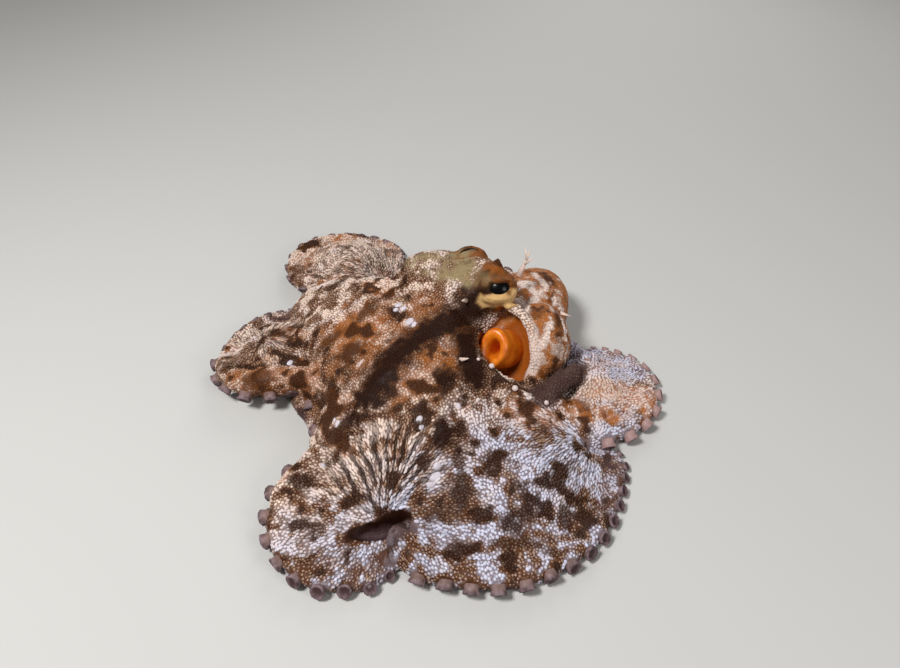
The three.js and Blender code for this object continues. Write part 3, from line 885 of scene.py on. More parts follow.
def in_hollow(points, hollow, grow=0.0):
    """1 inside a hollow's ellipsoid, falling to 0 just outside it; grow widens it by a share."""
    local = (points - np.array(hollow["centre"])) @ turn_matrix(hollow["turn"], hollow["lean"])
    return 1 - smooth(np.linalg.norm(local / np.array(hollow["semi"]), axis=1), 1 + grow, 1.1 + grow)


def markings(points, normals):
    """Masks from 0 to 1 over the skin, for the colours and the granules alike."""
    ragged = noise_field(points, *RAGGED_NOISE) * 0.42
    broad = noise_field(points, *BROAD_NOISE)
    patchy = noise_field(points, *PATCHY_NOISE)
    fine = noise_field(points, *FINE_NOISE)
    mantle = in_mantle(points)
    lip = near_path(points, MANTLE_LIP, 5.0)
    bay = np.maximum(in_hollow(points, BAY, -0.02), in_hollow(points, BAY_TOP, 0.0)) * (1 - lip)
    tip = near_path(points, CURLED_TIP, 7.5)
    # The inside of the curl's hollow, where shade is painted.
    shaded_pit = in_hollow(points, CURL_HOLLOW, 0.02) * (1 - tip)
    tucked = near_path(points, TUCKED_END, 10.0) * (1 - bay)

    dark = smooth(patchy + broad * 0.5 + fine * 0.3, 0.3, 0.85) * 0.85
    dark = np.maximum(dark, spot_strength(points, BLOTCHES, ragged + fine * 0.25))
    torn = points + np.column_stack((ragged, fine, ragged)) * 4
    bar = near_path(torn, EYE_BAR, EYE_BAR_WIDTH, 0.3)
    # The painted shadow along the mantle's mouth joins the bar through the eye, and both go into the dark
    # mask.
    bar = np.maximum(bar, near_path(torn, BAY_SHADOW, BAY_SHADOW_WIDTH, 0.35)) * (1 - mantle)
    dark = np.maximum(dark, bar)
    pale = smooth(-patchy + broad * 0.3 + fine * 0.5, -0.25, 0.5)
    patches = spot_strength(points, PALE_PATCHES, ragged + fine * 0.4)
    pale = np.maximum(pale, patches * mixed(0.6, 1, smooth(fine, -0.5, 0.2)))
    crown, left_lobe = in_region(points, CROWN_REGION), in_region(points, LEFT_REGION)
    right_lobe, back_lobe = in_region(points, RIGHT_REGION), in_region(points, BACK_REGION)
    dark = dark * (1 - right_lobe * 0.85) * (1 - back_lobe * 0.4)
    pale = np.maximum(pale, np.maximum(right_lobe, back_lobe * 0.9) * smooth(fine + patchy, -0.9, 0.2))
    crowned = crown * mixed(0.35, 0.85, smooth(patchy, -0.9, 0.1))
    pale = pale * (1 - dark * 0.9) * (1 - crowned) * (1 - left_lobe * 0.4)
    pale = np.maximum(pale, spot_strength(points, WART_PATCHES, fine * 0.4))
    orange = spot_strength(points, ORANGE_PATCHES, ragged, flat=False)
    near_side = smooth(points[:, 0] * 0.5 - points[:, 1], 30, 70)
    orange = np.maximum(orange, smooth(broad, 0.25, 0.6) * 0.5 * (1 - near_side))
    orange = np.maximum(orange, crown * smooth(-broad - patchy * 0.4, -0.25, 0.35) * 0.42)

    light = np.max([near_path(torn, route, width * 0.8, 0.35) for route, width in MANTLE_PALE], axis=0)
    light = np.maximum(light, smooth(patchy + fine * 0.4, 0.25, 0.8) * 0.6)
    shade = np.max([near_path(torn, *streak, 0.3) for streak in MANTLE_DARK], axis=0)
    pale = mixed(pale, light, mantle)
    dark = mixed(dark, np.maximum(shade * 0.85, smooth(-patchy - fine, 0.5, 0.9) * 0.5) * (1 - light), mantle)
    orange = mixed(orange, 0.85 * (1 - light), mantle)
    pale, dark = np.maximum(pale, lip), dark * (1 - lip)
    nearest_eye = np.min([np.linalg.norm(points - eye["centre"], axis=1) for eye in EYES.values()], axis=0)
    socket = (1 - smooth(nearest_eye, EYE_RADIUS + 3, EYE_RADIUS + 7)) * (1 - mantle)
    pale, orange = pale * (1 - socket), np.maximum(orange, socket * 0.55)
    dark = np.maximum(dark, socket * (0.25 + 0.4 * smooth(patchy + fine, -0.3, 0.5)))
    below_eye = near_path(points + noise_field(points, *CREAM_NOISE)[:, None] * 1.6, CREAM_PATH, 6.0)
    pale, dark, orange = pale * (1 - below_eye), dark * (1 - below_eye), orange * (1 - below_eye)
    horn = near_path(points, HORN, 9.5) * smooth(points[:, 2], 61, 65)
    pale, orange, dark = pale * (1 - horn), np.maximum(orange, horn * 0.8), np.maximum(dark, horn * 0.35)
    pale, dark, orange = pale * (1 - tucked * 0.85), np.maximum(dark, tucked * 0.75), orange * (1 - tucked)
    # Painted shade: the skin inside the curl's hollow is dark all through and loses its pale.
    pale, dark = pale * (1 - shaded_pit), np.maximum(dark, shaded_pit)

    cool = smooth(points[:, 0] * 0.5 - points[:, 1], 38, 92)
    cool = np.maximum(cool, in_region(points, COOL_REGION))
    cool = np.clip(cool + noise_field(points, *COOL_NOISE) * 0.3, 0, 1) * (1 - orange * 0.8) * (1 - mantle)
    cool = np.maximum(cool, mantle * 0.12)
    rim = np.maximum((1 - smooth(points[:, 2] + fine, 2.0, 8.0)) * 0.9, np.maximum(tucked * 0.5, tip * 0.3))
    near_brow = mixed(0.3, 0.85, smooth(patchy, -0.5, 0.5))
    far_brow = mixed(0.15, 0.8, smooth(fine + patchy * 0.5, -0.6, 0.5))
    brow = np.maximum(
        near_path(points, BROW_NEAR, BROW_NEAR_WIDTH) * near_brow,
        near_path(points, BROW_FAR, BROW_FAR_WIDTH) * far_brow,
    ) * (1 - mantle) * (1 - horn) * (1 - bar * 0.8)
    _, _, groove = pleat_relief(points, normals)
    pale, cool = np.maximum(pale, tip * 0.8), np.maximum(cool, tip)
    bare = np.maximum(np.maximum(bay, below_eye), np.maximum(shaded_pit, tip))
    return dict(
        bare=bare, dark=dark, pale=pale, cool=cool, orange=orange, rim=rim, brow=brow, groove=groove, bay=bay,
        mantle=mantle, warm=below_eye,
    )


def plain_marks(count, **given):
    """Markings for small solids: the given masks, and no others."""
    names = ("dark", "pale", "cool", "orange", "rim", "brow", "groove", "bay", "mantle", "warm")
    return {name: np.zeros(count) + given.get(name, 0) for name in names}


def write_markings(mesh, marks, lift):
    """Stores the masks as three colour attributes, four masks in each; lift is how high a point stands: it
    shifts the colour from the ground's towards the crest's, which on the granules paints shade towards each
    foot.
    """
    count = len(mesh.vertices)
    # The painted shade of the pleats' hollows joins the dark mask.
    dark = np.maximum(marks["dark"], marks["groove"] * 0.9)
    for name, channels in (
        ("markings", (dark, marks["pale"], marks["cool"], lift)),
        ("tints", (marks["orange"], marks["rim"], marks["brow"], marks["bay"])),
        ("accents", (marks["warm"], marks["mantle"], 0, 0)),
    ):
        layer = mesh.attributes.new(name, "FLOAT_COLOR", "POINT")
        values = np.stack([np.broadcast_to(c, count) for c in channels], axis=1)
        layer.data.foreach_set("color", np.clip(values, 0, 1).astype(np.float32).ravel())


# ---------- materials ----------
def new_material(name, surface):
    """A material, its nodes and its shader, with the surface's values set on the shader's own sockets."""
    material = bpy.data.materials.new(name)
    material.use_nodes = True
    tree = material.node_tree
    shader = tree.nodes["Principled BSDF"]
    for socket, value in surface.items():
        shader.inputs[socket].default_value = value
    return material, tree, shader


def link(tree, source, target):
    tree.links.new(source, target)


def attribute_node(tree, name):
    """The outputs of a node that reads a named attribute."""
    reader = tree.nodes.new("ShaderNodeAttribute")
    reader.attribute_name = name
    return reader.outputs


def object_place(tree):
    """The object's own coordinates."""
    return tree.nodes.new("ShaderNodeTexCoord").outputs["Object"]


def mix_node(tree, factor, first, second):
    """A colour mix whose three inputs are sockets, colours or numbers."""
    node = tree.nodes.new("ShaderNodeMix")
    node.data_type = "RGBA"
    for name, value in (("Factor_Float", factor), ("A_Color", first), ("B_Color", second)):
        socket = next(s for s in node.inputs if s.identifier == name)
        if isinstance(value, bpy.types.NodeSocket):
            link(tree, value, socket)
        elif name == "Factor_Float":
            socket.default_value = value
        else:
            socket.default_value = (*value, 1)
    return next(s for s in node.outputs if s.identifier == "Result_Color")


def math_node(tree, operation, first, second=0.5, third=None):
    """A sum of up to three sockets or numbers, by the named operation."""
    node = tree.nodes.new("ShaderNodeMath")
    node.operation = operation
    for socket, value in zip(node.inputs, (first, second, third)):
        if isinstance(value, bpy.types.NodeSocket):
            link(tree, value, socket)
        elif value is not None:
            socket.default_value = value
    return node.outputs[0]


def ramp_node(tree, value, low, high):
    """A smooth step of a value from low to high."""
    node = tree.nodes.new("ShaderNodeMapRange")
    node.interpolation_type = "SMOOTHSTEP"
    node.inputs["From Min"].default_value, node.inputs["From Max"].default_value = low, high
    link(tree, value, node.inputs["Value"])
    return node.outputs["Result"]


def texture_node(tree, kind, coordinates_socket, scale, **settings):
    """A texture at a scale, with its other settings by name."""
    node = tree.nodes.new(kind)
    node.inputs["Scale"].default_value = scale
    for name, value in settings.items():
        if hasattr(node, name):
            setattr(node, name, value)
        else:
            node.inputs[name.capitalize()].default_value = value
    link(tree, coordinates_socket, node.inputs["Vector"])
    return node


GROUP_COLOURS = ("ground", "dark", "orange", "tan", "cream", "lavender", "rim", "brow", "cavity", "warm")


def marking_group():
    """The shared colouring: masks in, the skin's colour, roughness and height out."""
    group = bpy.data.node_groups.new("octopus_colouring", "ShaderNodeTree")
    for way, name, kind in (
        *(("INPUT", name.title(), "Color") for name in GROUP_COLOURS), ("INPUT", "Fineness", "Float"),
        ("OUTPUT", "Color", "Color"), ("OUTPUT", "Roughness", "Float"), ("OUTPUT", "Height", "Float"),
    ):
        group.interface.new_socket(name=name, in_out=way, socket_type="NodeSocket" + kind)
    given = group.nodes.new("NodeGroupInput").outputs
    result = group.nodes.new("NodeGroupOutput").inputs

    masks = {}
    for attribute, names in (
        ("markings", ("dark", "pale", "cool")), ("tints", ("orange", "rim", "brow")),
        ("accents", ("warm", "mantle")),
    ):
        read = attribute_node(group, attribute)
        split = group.nodes.new("ShaderNodeSeparateColor")
        link(group, read["Color"], split.inputs["Color"])
        masks.update(zip(names, split.outputs))
        masks[attribute] = read["Alpha"]

    place = object_place(group)
    grain = texture_node(group, "ShaderNodeTexVoronoi", place, 900, feature="F1", randomness=0.9)
    speck = ramp_node(group, grain.outputs["Distance"], 0.62, 0.18)
    mottle = texture_node(group, "ShaderNodeTexNoise", place, 260, detail=4, roughness=0.6).outputs["Fac"]
    mottled = ramp_node(group, mottle, 0.35, 0.68)

    ground = mix_node(group, masks["orange"], given["Ground"], given["Orange"])
    pale = mix_node(group, masks["cool"], given["Cream"], given["Lavender"])
    spread = math_node(group, "MULTIPLY_ADD", masks["mantle"], 0.6, 0.26)
    ground = mix_node(group, math_node(group, "MULTIPLY", masks["pale"], spread), ground, pale)
    ground = mix_node(group, masks["dark"], ground, given["Dark"])
    ground = mix_node(group, math_node(group, "MULTIPLY", masks["rim"], 0.7), ground, given["Rim"])
    ground = mix_node(group, masks["brow"], ground, given["Brow"])

    crest = mix_node(group, masks["pale"], given["Tan"], pale)
    faded = math_node(group, "MULTIPLY_ADD", masks["pale"], -0.45, 0.6)
    tinted = math_node(group, "MULTIPLY", masks["orange"], faded)
    crest = mix_node(group, tinted, crest, given["Orange"])
    crest = mix_node(group, math_node(group, "MULTIPLY", masks["dark"], 0.97), crest, given["Dark"])
    crest = mix_node(group, math_node(group, "MULTIPLY", masks["rim"], 0.35), crest, given["Rim"])
    crest = mix_node(group, math_node(group, "MULTIPLY", masks["brow"], 0.85), crest, given["Brow"])

    fine = math_node(group, "MULTIPLY", speck, given["Fineness"])
    # How far the colour goes from ground to crest: the fine specks on the skin, and on the granules their
    # height, whose darker feet are painted shade.
    lifted = math_node(group, "MAXIMUM", masks["markings"], math_node(group, "MULTIPLY", fine, mottled))
    colour = mix_node(group, lifted, ground, crest)
    shade = math_node(group, "MULTIPLY", mottled, 0.28)
    colour = mix_node(group, shade, colour, mix_node(group, 0.55, colour, given["Dark"]))
    colour = mix_node(group, masks["warm"], colour, given["Warm"])
    colour = mix_node(group, masks["tints"], colour, given["Cavity"])
    link(group, colour, result["Color"])
    link(group, math_node(group, "MULTIPLY_ADD", mottled, 0.18, 0.42), result["Roughness"])
    height = math_node(group, "ADD", math_node(group, "MULTIPLY", speck, 0.7), mottle)
    link(group, height, result["Height"])
    return group


def skin_material(name, fineness, bump_mm, colours):
    """Wet skin or one of the small things on it, coloured by the shared group."""
    material, tree, shader = new_material(name, SKIN_SURFACE)
    placed = tree.nodes.new("ShaderNodeGroup")
    placed.node_tree = bpy.data.node_groups.get("octopus_colouring") or marking_group()
    for field in GROUP_COLOURS:
        placed.inputs[field.title()].default_value = (*getattr(colours, field), 1)
    placed.inputs["Fineness"].default_value = fineness
    bump = tree.nodes.new("ShaderNodeBump")
    bump.inputs["Strength"].default_value = 0.5
    bump.inputs["Distance"].default_value = bump_mm * MM
    link(tree, placed.outputs["Height"], bump.inputs["Height"])
    link(tree, placed.outputs["Color"], shader.inputs["Base Color"])
    link(tree, placed.outputs["Roughness"], shader.inputs["Roughness"])
    link(tree, bump.outputs["Normal"], shader.inputs["Normal"])
    return material


# ---------- small solids set on the skin ----------
def granule_template(sides=6):
    """The upper half of a small ball: its points, its faces and how high each point is."""
    bm = bmesh.new()
    bmesh.ops.create_uvsphere(bm, u_segments=sides, v_segments=4, radius=1)
    whole = bm.verts[:] + bm.edges[:] + bm.faces[:]
    bmesh.ops.bisect_plane(bm, geom=whole, plane_co=(0, 0, -0.01), plane_no=(0, 0, -1), clear_outer=True)
    return points_and_faces(bm)


def set_copies(name, template, feet, axes, scales):
    """One mesh object of many copies of a template, each with a foot, three axes and three scales."""
    points, faces = template
    scaled = points[None, :, :] * scales[:, None, :]
    placed = np.einsum("nij,nvi->nvj", axes, scaled) + feet[:, None, :]
    count, per = placed.shape[:2]
    offsets = np.arange(count)[:, None] * per
    loops = np.concatenate([np.array(face) for face in faces])
    sizes = np.array([len(face) for face in faces])
    mesh = bpy.data.meshes.new(name)
    mesh.vertices.add(count * per)
    mesh.vertices.foreach_set("co", (placed * MM).astype(np.float32).ravel())
    mesh.loops.add(count * len(loops))
    mesh.loops.foreach_set("vertex_index", (loops[None, :] + offsets).astype(np.int32).ravel())
    mesh.polygons.add(count * len(sizes))
    starts = np.concatenate(([0], np.cumsum(np.tile(sizes, count))[:-1]))
    mesh.polygons.foreach_set("loop_start", starts.astype(np.int32))
    mesh.update(calc_edges=True)
    mesh.validate()
    return link_mesh(name, mesh)


def scatter(skin, spacing, seed, floor_clear):
    """Evenly random points on the skin no closer than spacing: places, normals."""
    mesh = skin.data
    mesh.calc_loop_triangles()
    triangles = np.empty(len(mesh.loop_triangles) * 3, np.int32)
    mesh.loop_triangles.foreach_get("vertices", triangles)
    triangles = triangles.reshape(-1, 3)
    points, normals = coordinates(mesh), vertex_normals(mesh)
    a, b, c = (points[triangles[:, k]] for k in range(3))
    area = np.linalg.norm(np.cross(b - a, c - a), axis=1) / 2
    area[(a[:, 2] < floor_clear) & (b[:, 2] < floor_clear)] = 0
    chance = np.random.RandomState(seed)
    tries = int(area.sum() / spacing**2 * 5)
    chosen = np.searchsorted(np.cumsum(area) / area.sum(), chance.rand(tries))
    r, s = chance.rand(tries), chance.rand(tries)
    over = r + s > 1
    r[over], s[over] = 1 - r[over], 1 - s[over]
    t = 1 - r - s
    weights = np.stack((t, r, s), axis=1)
    corners = triangles[chosen]
    places = (points[corners] * weights[:, :, None]).sum(axis=1)
    facing = unit((normals[corners] * weights[:, :, None]).sum(axis=1))
    kept = spread_out(places, spacing)
    return places[kept], facing[kept]


def spread_out(places, spacing):
    """The indices of points that keep their distance from all kept before them."""
    cells = np.floor(places / spacing).astype(int)
    taken, kept = {}, []
    limit = spacing * spacing
    around = [(i, j, k) for i in (-1, 0, 1) for j in (-1, 0, 1) for k in (-1, 0, 1)]
    for index, ((x, y, z), (i, j, k)) in enumerate(zip(places.tolist(), cells.tolist())):
        clear = True
        for di, dj, dk in around:
            for px, py, pz in taken.get((i + di, j + dj, k + dk), ()):
                if (px - x) ** 2 + (py - y) ** 2 + (pz - z) ** 2 < limit:
                    clear = False
                    break
            if not clear:
                break
        if clear:
            taken.setdefault((i, j, k), []).append((x, y, z))
            kept.append(index)
    return np.array(kept)


def surface_axes(normals, along):
    """Axes for things on the skin: along its flow, across it, and out."""
    along = unit(along - normals * np.sum(along * normals, axis=1, keepdims=True))
    return np.stack((along, np.cross(normals, along), normals), axis=1)


def ride_as(made, nodes, material):
    """Gives a piece its material, and says what it rides on and replaces."""
    made.data.materials.clear()
    made.data.materials.append(material)
    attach(made, "root")
    if nodes:
        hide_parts(*nodes)


def plan_unwrap(points):
    """Places in a square unwrap of the skin: around the crown's top, and outward along the skin."""
    away = points[:, :2] - TENT_TOP[:2]
    slope = np.hypot(np.hypot(away[:, 0], away[:, 1]), (TENT_TOP[2] - points[:, 2]) * 0.8)
    angle = np.arctan2(away[:, 1], away[:, 0])
    out = slope / UNWRAP_SPAN
    return np.column_stack((0.5 + np.cos(angle) * out, 0.5 + np.sin(angle) * out))


def skin_tree():
    """The skin as a tree that rays can be cast at, in metres."""
    bm = bmesh.new()
    bm.from_mesh(bpy.data.objects["skin"].data)
    tree = BVHTree.FromBMesh(bm)
    bm.free()
    return tree


# ---------- the operators ----------
def settings():
    """The scene's sizes and colours."""
    return bpy.context.scene.octopus_sizes, bpy.context.scene.octopus_colours


class OCTOPUS_OT_skin(bpy.types.Operator):
    """Build the one skin that covers head, mantle, arms and webs"""

    bl_idname = "octopus.skin"
    bl_label = "Skin"

    def execute(self, context):
        sizes, colours = settings()
        inset = sizes.coat_depth / MM
        forms = Forms()
        bent_sphere(forms, 128, 64, crown_move)
        for arm in ARMS.values():
            bent_sphere(forms, 24, 90, arm_move(arm, inset))
            if arm["pleat"]:
                bent_sphere(forms, 90, 28, web_move(arm))
        add_head(forms, inset)
        add_mantle(forms, inset)
        skin = forms.made("skin")
        even_grid(skin, sizes.grid * 1.1, 4)
        for hollow in (BAY, BAY_TOP, CURL_HOLLOW):
            cut(skin, hollow["centre"], hollow["semi"], hollow["turn"], hollow["lean"])
        edges = Forms()
        add_edges(edges, sizes)
        join_into(skin, edges.made("edges"))
        even_grid(skin, sizes.grid, 7)
        keep_largest(skin)
        refine_near_eyes(skin)

        points, normals = coordinates(skin.data), vertex_normals(skin.data)
        marks = markings(points, normals)
        relief, _, _ = pleat_relief(points, normals)
        loose = noise_field(points, *FOLD_NOISE) * (1 - marks["mantle"] * 0.7) * (1 - marks["bay"])
        fine = noise_field(points, *CREASE_NOISE) * (1 - marks["mantle"] * 0.5) * (1 - marks["bay"])
        fold = sizes.fold_depth / MM
        height = relief + loose * fold + fine * fold * 0.35
        skirt = smooth(points[:, 2], 0.5, 5)
        place_vertices(skin.data, open_lids(points + normals * (height * skirt)[:, None]))
        flat_bottom(skin)
        points, normals = coordinates(skin.data), vertex_normals(skin.data)
        write_markings(skin.data, markings(points, normals), np.zeros(len(points)))
        flesh = [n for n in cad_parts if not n.startswith("eye_") and n != "funnel"]
        ride_as(skin, flesh, skin_material("wet_skin", 0.55, 0.45, colours))
        return {"FINISHED"}


class OCTOPUS_OT_granules(bpy.types.Operator):
    """Set the pebbly granules all over the skin, in a few joined meshes"""

    bl_idname = "octopus.granules"
    bl_label = "Granules"

    def execute(self, context):
        sizes, colours = settings()
        skin = bpy.data.objects["skin"]
        places, normals = scatter(skin, sizes.granule_spacing / MM, SEED, 2.0)
        marks = markings(places, normals)
        open_eye = np.zeros(len(places), bool)
        for eye in EYES.values():
            gaze = unit(eye["gaze"])
            away = places - np.array(eye["centre"])
            open_eye |= (np.linalg.norm(away, axis=1) < EYE_RADIUS + 5) & (away @ gaze > EYE_RADIUS * 0.35)
        chance = np.random.RandomState(SEED + 1)
        sparse = (marks["rim"] > 0.6) & (places[:, 2] > 12) & (chance.rand(len(places)) < 0.6)
        on_sucker = np.zeros(len(places), bool)
        for _, _, place, _, radius in sucker_places(sizes):
            on_sucker |= np.linalg.norm(places - place, axis=1) < radius * 1.15
        open_eye &= marks["mantle"] < 0.5
        kept = ~open_eye & (marks["bare"] < 0.4) & ~sparse & ~on_sucker
        places, normals = places[kept], normals[kept]
        marks = {name: values[kept] for name, values in marks.items()}
        vary, other = chance.rand(len(places)), chance.rand(len(places))
        _, gathered, _ = pleat_relief(places, normals)
        clump = noise_field(places, *CLUMP_NOISE) * 0.16
        bold = 0.58 + 0.42 * marks["pale"] + 0.36 * vary**2 + clump - 0.16 * marks["dark"]
        wide = sizes.granule_radius / MM * bold
        tall = sizes.granule_height / MM * bold * (1 - 0.45 * marks["mantle"])
        long = wide * (1 + 0.8 * gathered + 0.25 * chance.rand(len(places)))
        axes = surface_axes(normals, flow_directions(places))
        scales = np.column_stack((long, wide * (1 - 0.2 * gathered), tall))
        template = granule_template()
        material = skin_material("granules", 0.0, 0.15, colours)
        x, y = places[:, 0], places[:, 1]
        zones = (
            ("granules_mantle", marks["mantle"] > 0.5, "mantle_skin"),
            ("granules_near", y < NEAR_EDGE, "skin"),
            ("granules_crown", (y >= NEAR_EDGE) & (y < FAR_EDGE) & (np.abs(x) < CROWN_HALF), "skin"),
            ("granules_sides", (y >= NEAR_EDGE) & (y < FAR_EDGE), "skin"),
            ("granules_far_left", (y >= FAR_EDGE) & (x < FAR_SPLIT), "skin"),
            ("granules_far_right", y >= FAR_EDGE, "skin"),
        )
        done = np.zeros(len(places), bool)
        top = np.clip(template[0][:, 2], 0, 1)
        for name, inside, slot in zones:
            chosen = inside & ~done
            done |= chosen
            made = set_copies(name, template, places[chosen], axes[chosen], scales[chosen])
            per = len(template[0])
            spread = {key: np.repeat(values[chosen], per) for key, values in marks.items()}
            freckle = (other[chosen] - 0.45) * 0.5 * (1 - marks["dark"][chosen])
            spread["dark"] = spread["dark"] * np.repeat(0.95 + 0.05 * vary[chosen], per)
            spread["pale"] = spread["pale"] + np.repeat(freckle, per)
            # Each granule's colour runs from the ground's at its foot to the crest's at its top: the crest is
            # the skin's own colour, the darker foot is painted shade.
            lift = np.tile(0.35 + 0.65 * smooth(top, 0.0, 0.7), int(chosen.sum()))
            write_markings(made.data, spread, lift)
            patch_map(made.data, template, places[chosen])
            ride_as(made, (), material)
        return {"FINISHED"}


def patch_map(mesh, template, feet):
    """A bake map in which each copy is one small patch at its foot's place on the unwrap."""
    points, faces = template
    local = (points[:, :2] - points[:, :2].min(0)) / np.ptp(points[:, :2], axis=0).max() - 0.5
    spots = plan_unwrap(feet)[:, None, :] + local[None, :, :] * PATCH_SIZE
    loops = np.concatenate([np.array(face) for face in faces])
    layer = mesh.uv_layers.new(name="OFBake")
    layer.uv.foreach_set("vector", spots[:, loops, :].astype(np.float32).ravel())


class OCTOPUS_OT_warts(bpy.types.Operator):
    """Set the larger pale warts and the beads of the web's edge"""

    bl_idname = "octopus.warts"
    bl_label = "Warts and beads"

    def execute(self, context):
        _, colours = settings()
        tree = skin_tree()
        feet, outs, radii = [], [], []
        for (x, y), radius in WARTS:
            hit, normal, _, _ = tree.ray_cast(Vector((x, y, WART_DROP)) * MM, Vector((0, 0, -1)))
            if hit is None:
                raise RuntimeError(f"no skin under the wart at {x}, {y}")
            feet.append(np.array(hit) / MM)
            outs.append(np.array(normal))
            radii.append([radius * share for share in WART_SHARES])
        for centre, radius in KNOBS:
            feet.append(np.array(centre, float))
            outs.append(np.array(KNOB_LEAN))
            radii.append((radius,) * 3)
        feet, outs, radii = np.array(feet), unit(outs), np.array(radii)
        template = granule_template(WART_FINENESS)
        axes = surface_axes(outs, flow_directions(feet))
        made = set_copies("pale_warts", template, feet, axes, radii)
        per, count = len(template[0]), len(feet)
        cool = np.where(np.arange(count) < count - len(KNOBS), 0.8, 0.35)
        marks = plain_marks(per * count, pale=0.8, cool=np.repeat(cool, per))
        write_markings(made.data, marks, 1)
        patch_map(made.data, template, feet)
        ride_as(made, (), skin_material("pale_warts", 0.0, 0.2, colours))
        return {"FINISHED"}


class OCTOPUS_OT_papillae(bpy.types.Operator):
    """Set the pointed papillae on head and mantle"""

    bl_idname = "octopus.papillae"
    bl_label = "Papillae"

    def execute(self, context):
        _, colours = settings()
        bm = bmesh.new()
        for foot, tip, radius in PAPILLAE:
            rise = (Vector(tip) - Vector(foot)) * MM
            turn = rise.to_track_quat("Z", "Y").to_matrix().to_4x4()
            middle = Matrix.Translation(Vector(foot) * MM + rise / 2)
            bmesh.ops.create_cone(
                bm, cap_ends=True, segments=12, radius1=radius * MM, radius2=radius * 0.12 * MM,
                depth=rise.length * 1.1, matrix=middle @ turn,
            )
        made = new_object("papillae", bm)
        marks = plain_marks(len(made.data.vertices), pale=0.9, cool=0.1, orange=0.25)
        write_markings(made.data, marks, 1)
        ride_as(made, (), skin_material("papillae", 0.0, 0.1, colours))
        return {"FINISHED"}


class OCTOPUS_OT_suckers(bpy.types.Operator):
    """Set the suckers that show along the outer edge of each arm"""

    bl_idname = "octopus.suckers"
    bl_label = "Suckers"

    def execute(self, context):
        sizes, colours = settings()
        template = sucker_template()
        tree = skin_tree()
        feet, outs, radii, tones = [], [], [], []
        for name, share, place, side, radius in sucker_places(sizes):
            first, last = TURNED_OUT.get(name, (1, 1))
            outward = np.array((*side, 0.0))
            hit, normal, _, _ = tree.ray_cast(Vector(place + outward * 12) * MM, Vector(-outward), 18 * MM)
            hidden = in_hollow(place[None, :], CURL_HOLLOW, 0.6)[0] > 0
            if hit is not None and normal.z < 0.75 and not hidden:
                sunk = 0.35 if first < share < last else 0.8
                tilt = mixed(-0.45, 0.8, smooth(share, 0.5, 0.75))
                feet.append(np.array(hit) / MM - outward * radius * sunk)
                tones.append(float(name == "left_4"))
                outs.append((*side * 0.95, tilt))
                radii.append((radius, radius, radius * 0.95))
        feet, outs, radii = np.array(feet), unit(outs), np.array(radii)
        up = np.tile(np.array((0.0, 0.0, 1.0)), (len(feet), 1))
        made = set_copies("suckers", template, feet, surface_axes(outs, up), radii)
        made.data.materials.append(None)
        high = template[0][:, 2]
        # The inner face of each cup, painted as shade.
        inside = smooth(1 - np.hypot(template[0][:, 0], template[0][:, 1]), 0.15, 0.6) * (high > 0.4)
        store(made.data, "cup", np.tile(inside, len(feet)))
        store(made.data, "foot", np.tile(1 - smooth(high, 0.0, 0.7), len(feet)))
        store(made.data, "pink", np.repeat(tones, len(high)))
        ride_as(made, (), sucker_material(colours))
        return {"FINISHED"}


def sucker_template():
    """A flared cup on a short thick stalk, turned about its axis."""
    bm = turned(SUCKER_PROFILE, steps=10, merge=1e-5)
    bmesh.ops.recalc_face_normals(bm, faces=bm.faces)
    return points_and_faces(bm)


def sucker_material(colours):
    """Mottled suckers, with painted shade inside their cups."""
    material, tree, shader = new_material("suckers", SUCKER_SURFACE)
    cup, foot, pink = (attribute_node(tree, name)["Fac"] for name in ("cup", "foot", "pink"))
    mottle = texture_node(tree, "ShaderNodeTexNoise", object_place(tree), 420, detail=3).outputs["Fac"]
    dark, pale = tuple(colours.sucker_dark), tuple(colours.sucker_pale)
    outer = mix_node(tree, ramp_node(tree, mottle, 0.3, 0.7), dark, pale)
    outer = mix_node(tree, math_node(tree, "MULTIPLY", foot, 0.7), outer, tuple(colours.sucker_foot))
    outer = mix_node(tree, math_node(tree, "MULTIPLY", pink, 0.6), outer, tuple(colours.sucker_pink))
    colour = mix_node(tree, cup, outer, tuple(colours.sucker_cup_shade))
    link(tree, colour, shader.inputs["Base Color"])
    return material


class OCTOPUS_OT_funnel(bpy.types.Operator):
    """Build the funnel: a thick-lipped tube in the mantle's mouth"""

    bl_idname = "octopus.funnel"
    bl_label = "Funnel"

    def execute(self, context):
        _, colours = settings()
        bm = turned(FUNNEL_PROFILE, steps=40, merge=1e-4)
        bmesh.ops.holes_fill(bm, edges=bm.edges, sides=0)
        bmesh.ops.recalc_face_normals(bm, faces=bm.faces)
        root, knee, mouth = (Vector(p) for p in FUNNEL_ROUTE)
        for vertex in bm.verts:
            share = vertex.co.z / FUNNEL_LENGTH
            flare = smooth(share, 0.45, 0.95)
            centre = bezier(root, knee, mouth, share)
            ahead = (bezier(root, knee, mouth, share + 0.02) - centre).normalized()
            side = Vector((0, 0, 1)).cross(ahead).normalized()
            up = ahead.cross(side)
            ripple = 1 + 0.05 * math.sin(3 * math.atan2(vertex.co.y, vertex.co.x) + 1)
            wide, tall = mixed(0.8, 0.84, flare) * ripple, mixed(1.0, 1.22, flare) * ripple
            vertex.co = (centre + side * vertex.co.x * wide + up * vertex.co.y * tall) * MM
        made = new_object("funnel_tube", bm)
        rounded = made.modifiers.new("rounded", "SUBSURF")
        rounded.levels = rounded.render_levels = 1
        apply_modifiers(made)
        points = coordinates(made.data)
        mouth_side = np.linalg.norm(points - np.array(bezier(root, knee, mouth, 1.0)), axis=1)
        # Painted shade in the funnel's mouth, within a few millimetres of its centre.
        store(made.data, "bore_shade", 1 - smooth(mouth_side, 3.0, 5.2))
        ride_as(made, ("funnel",), funnel_material(colours))
        return {"FINISHED"}


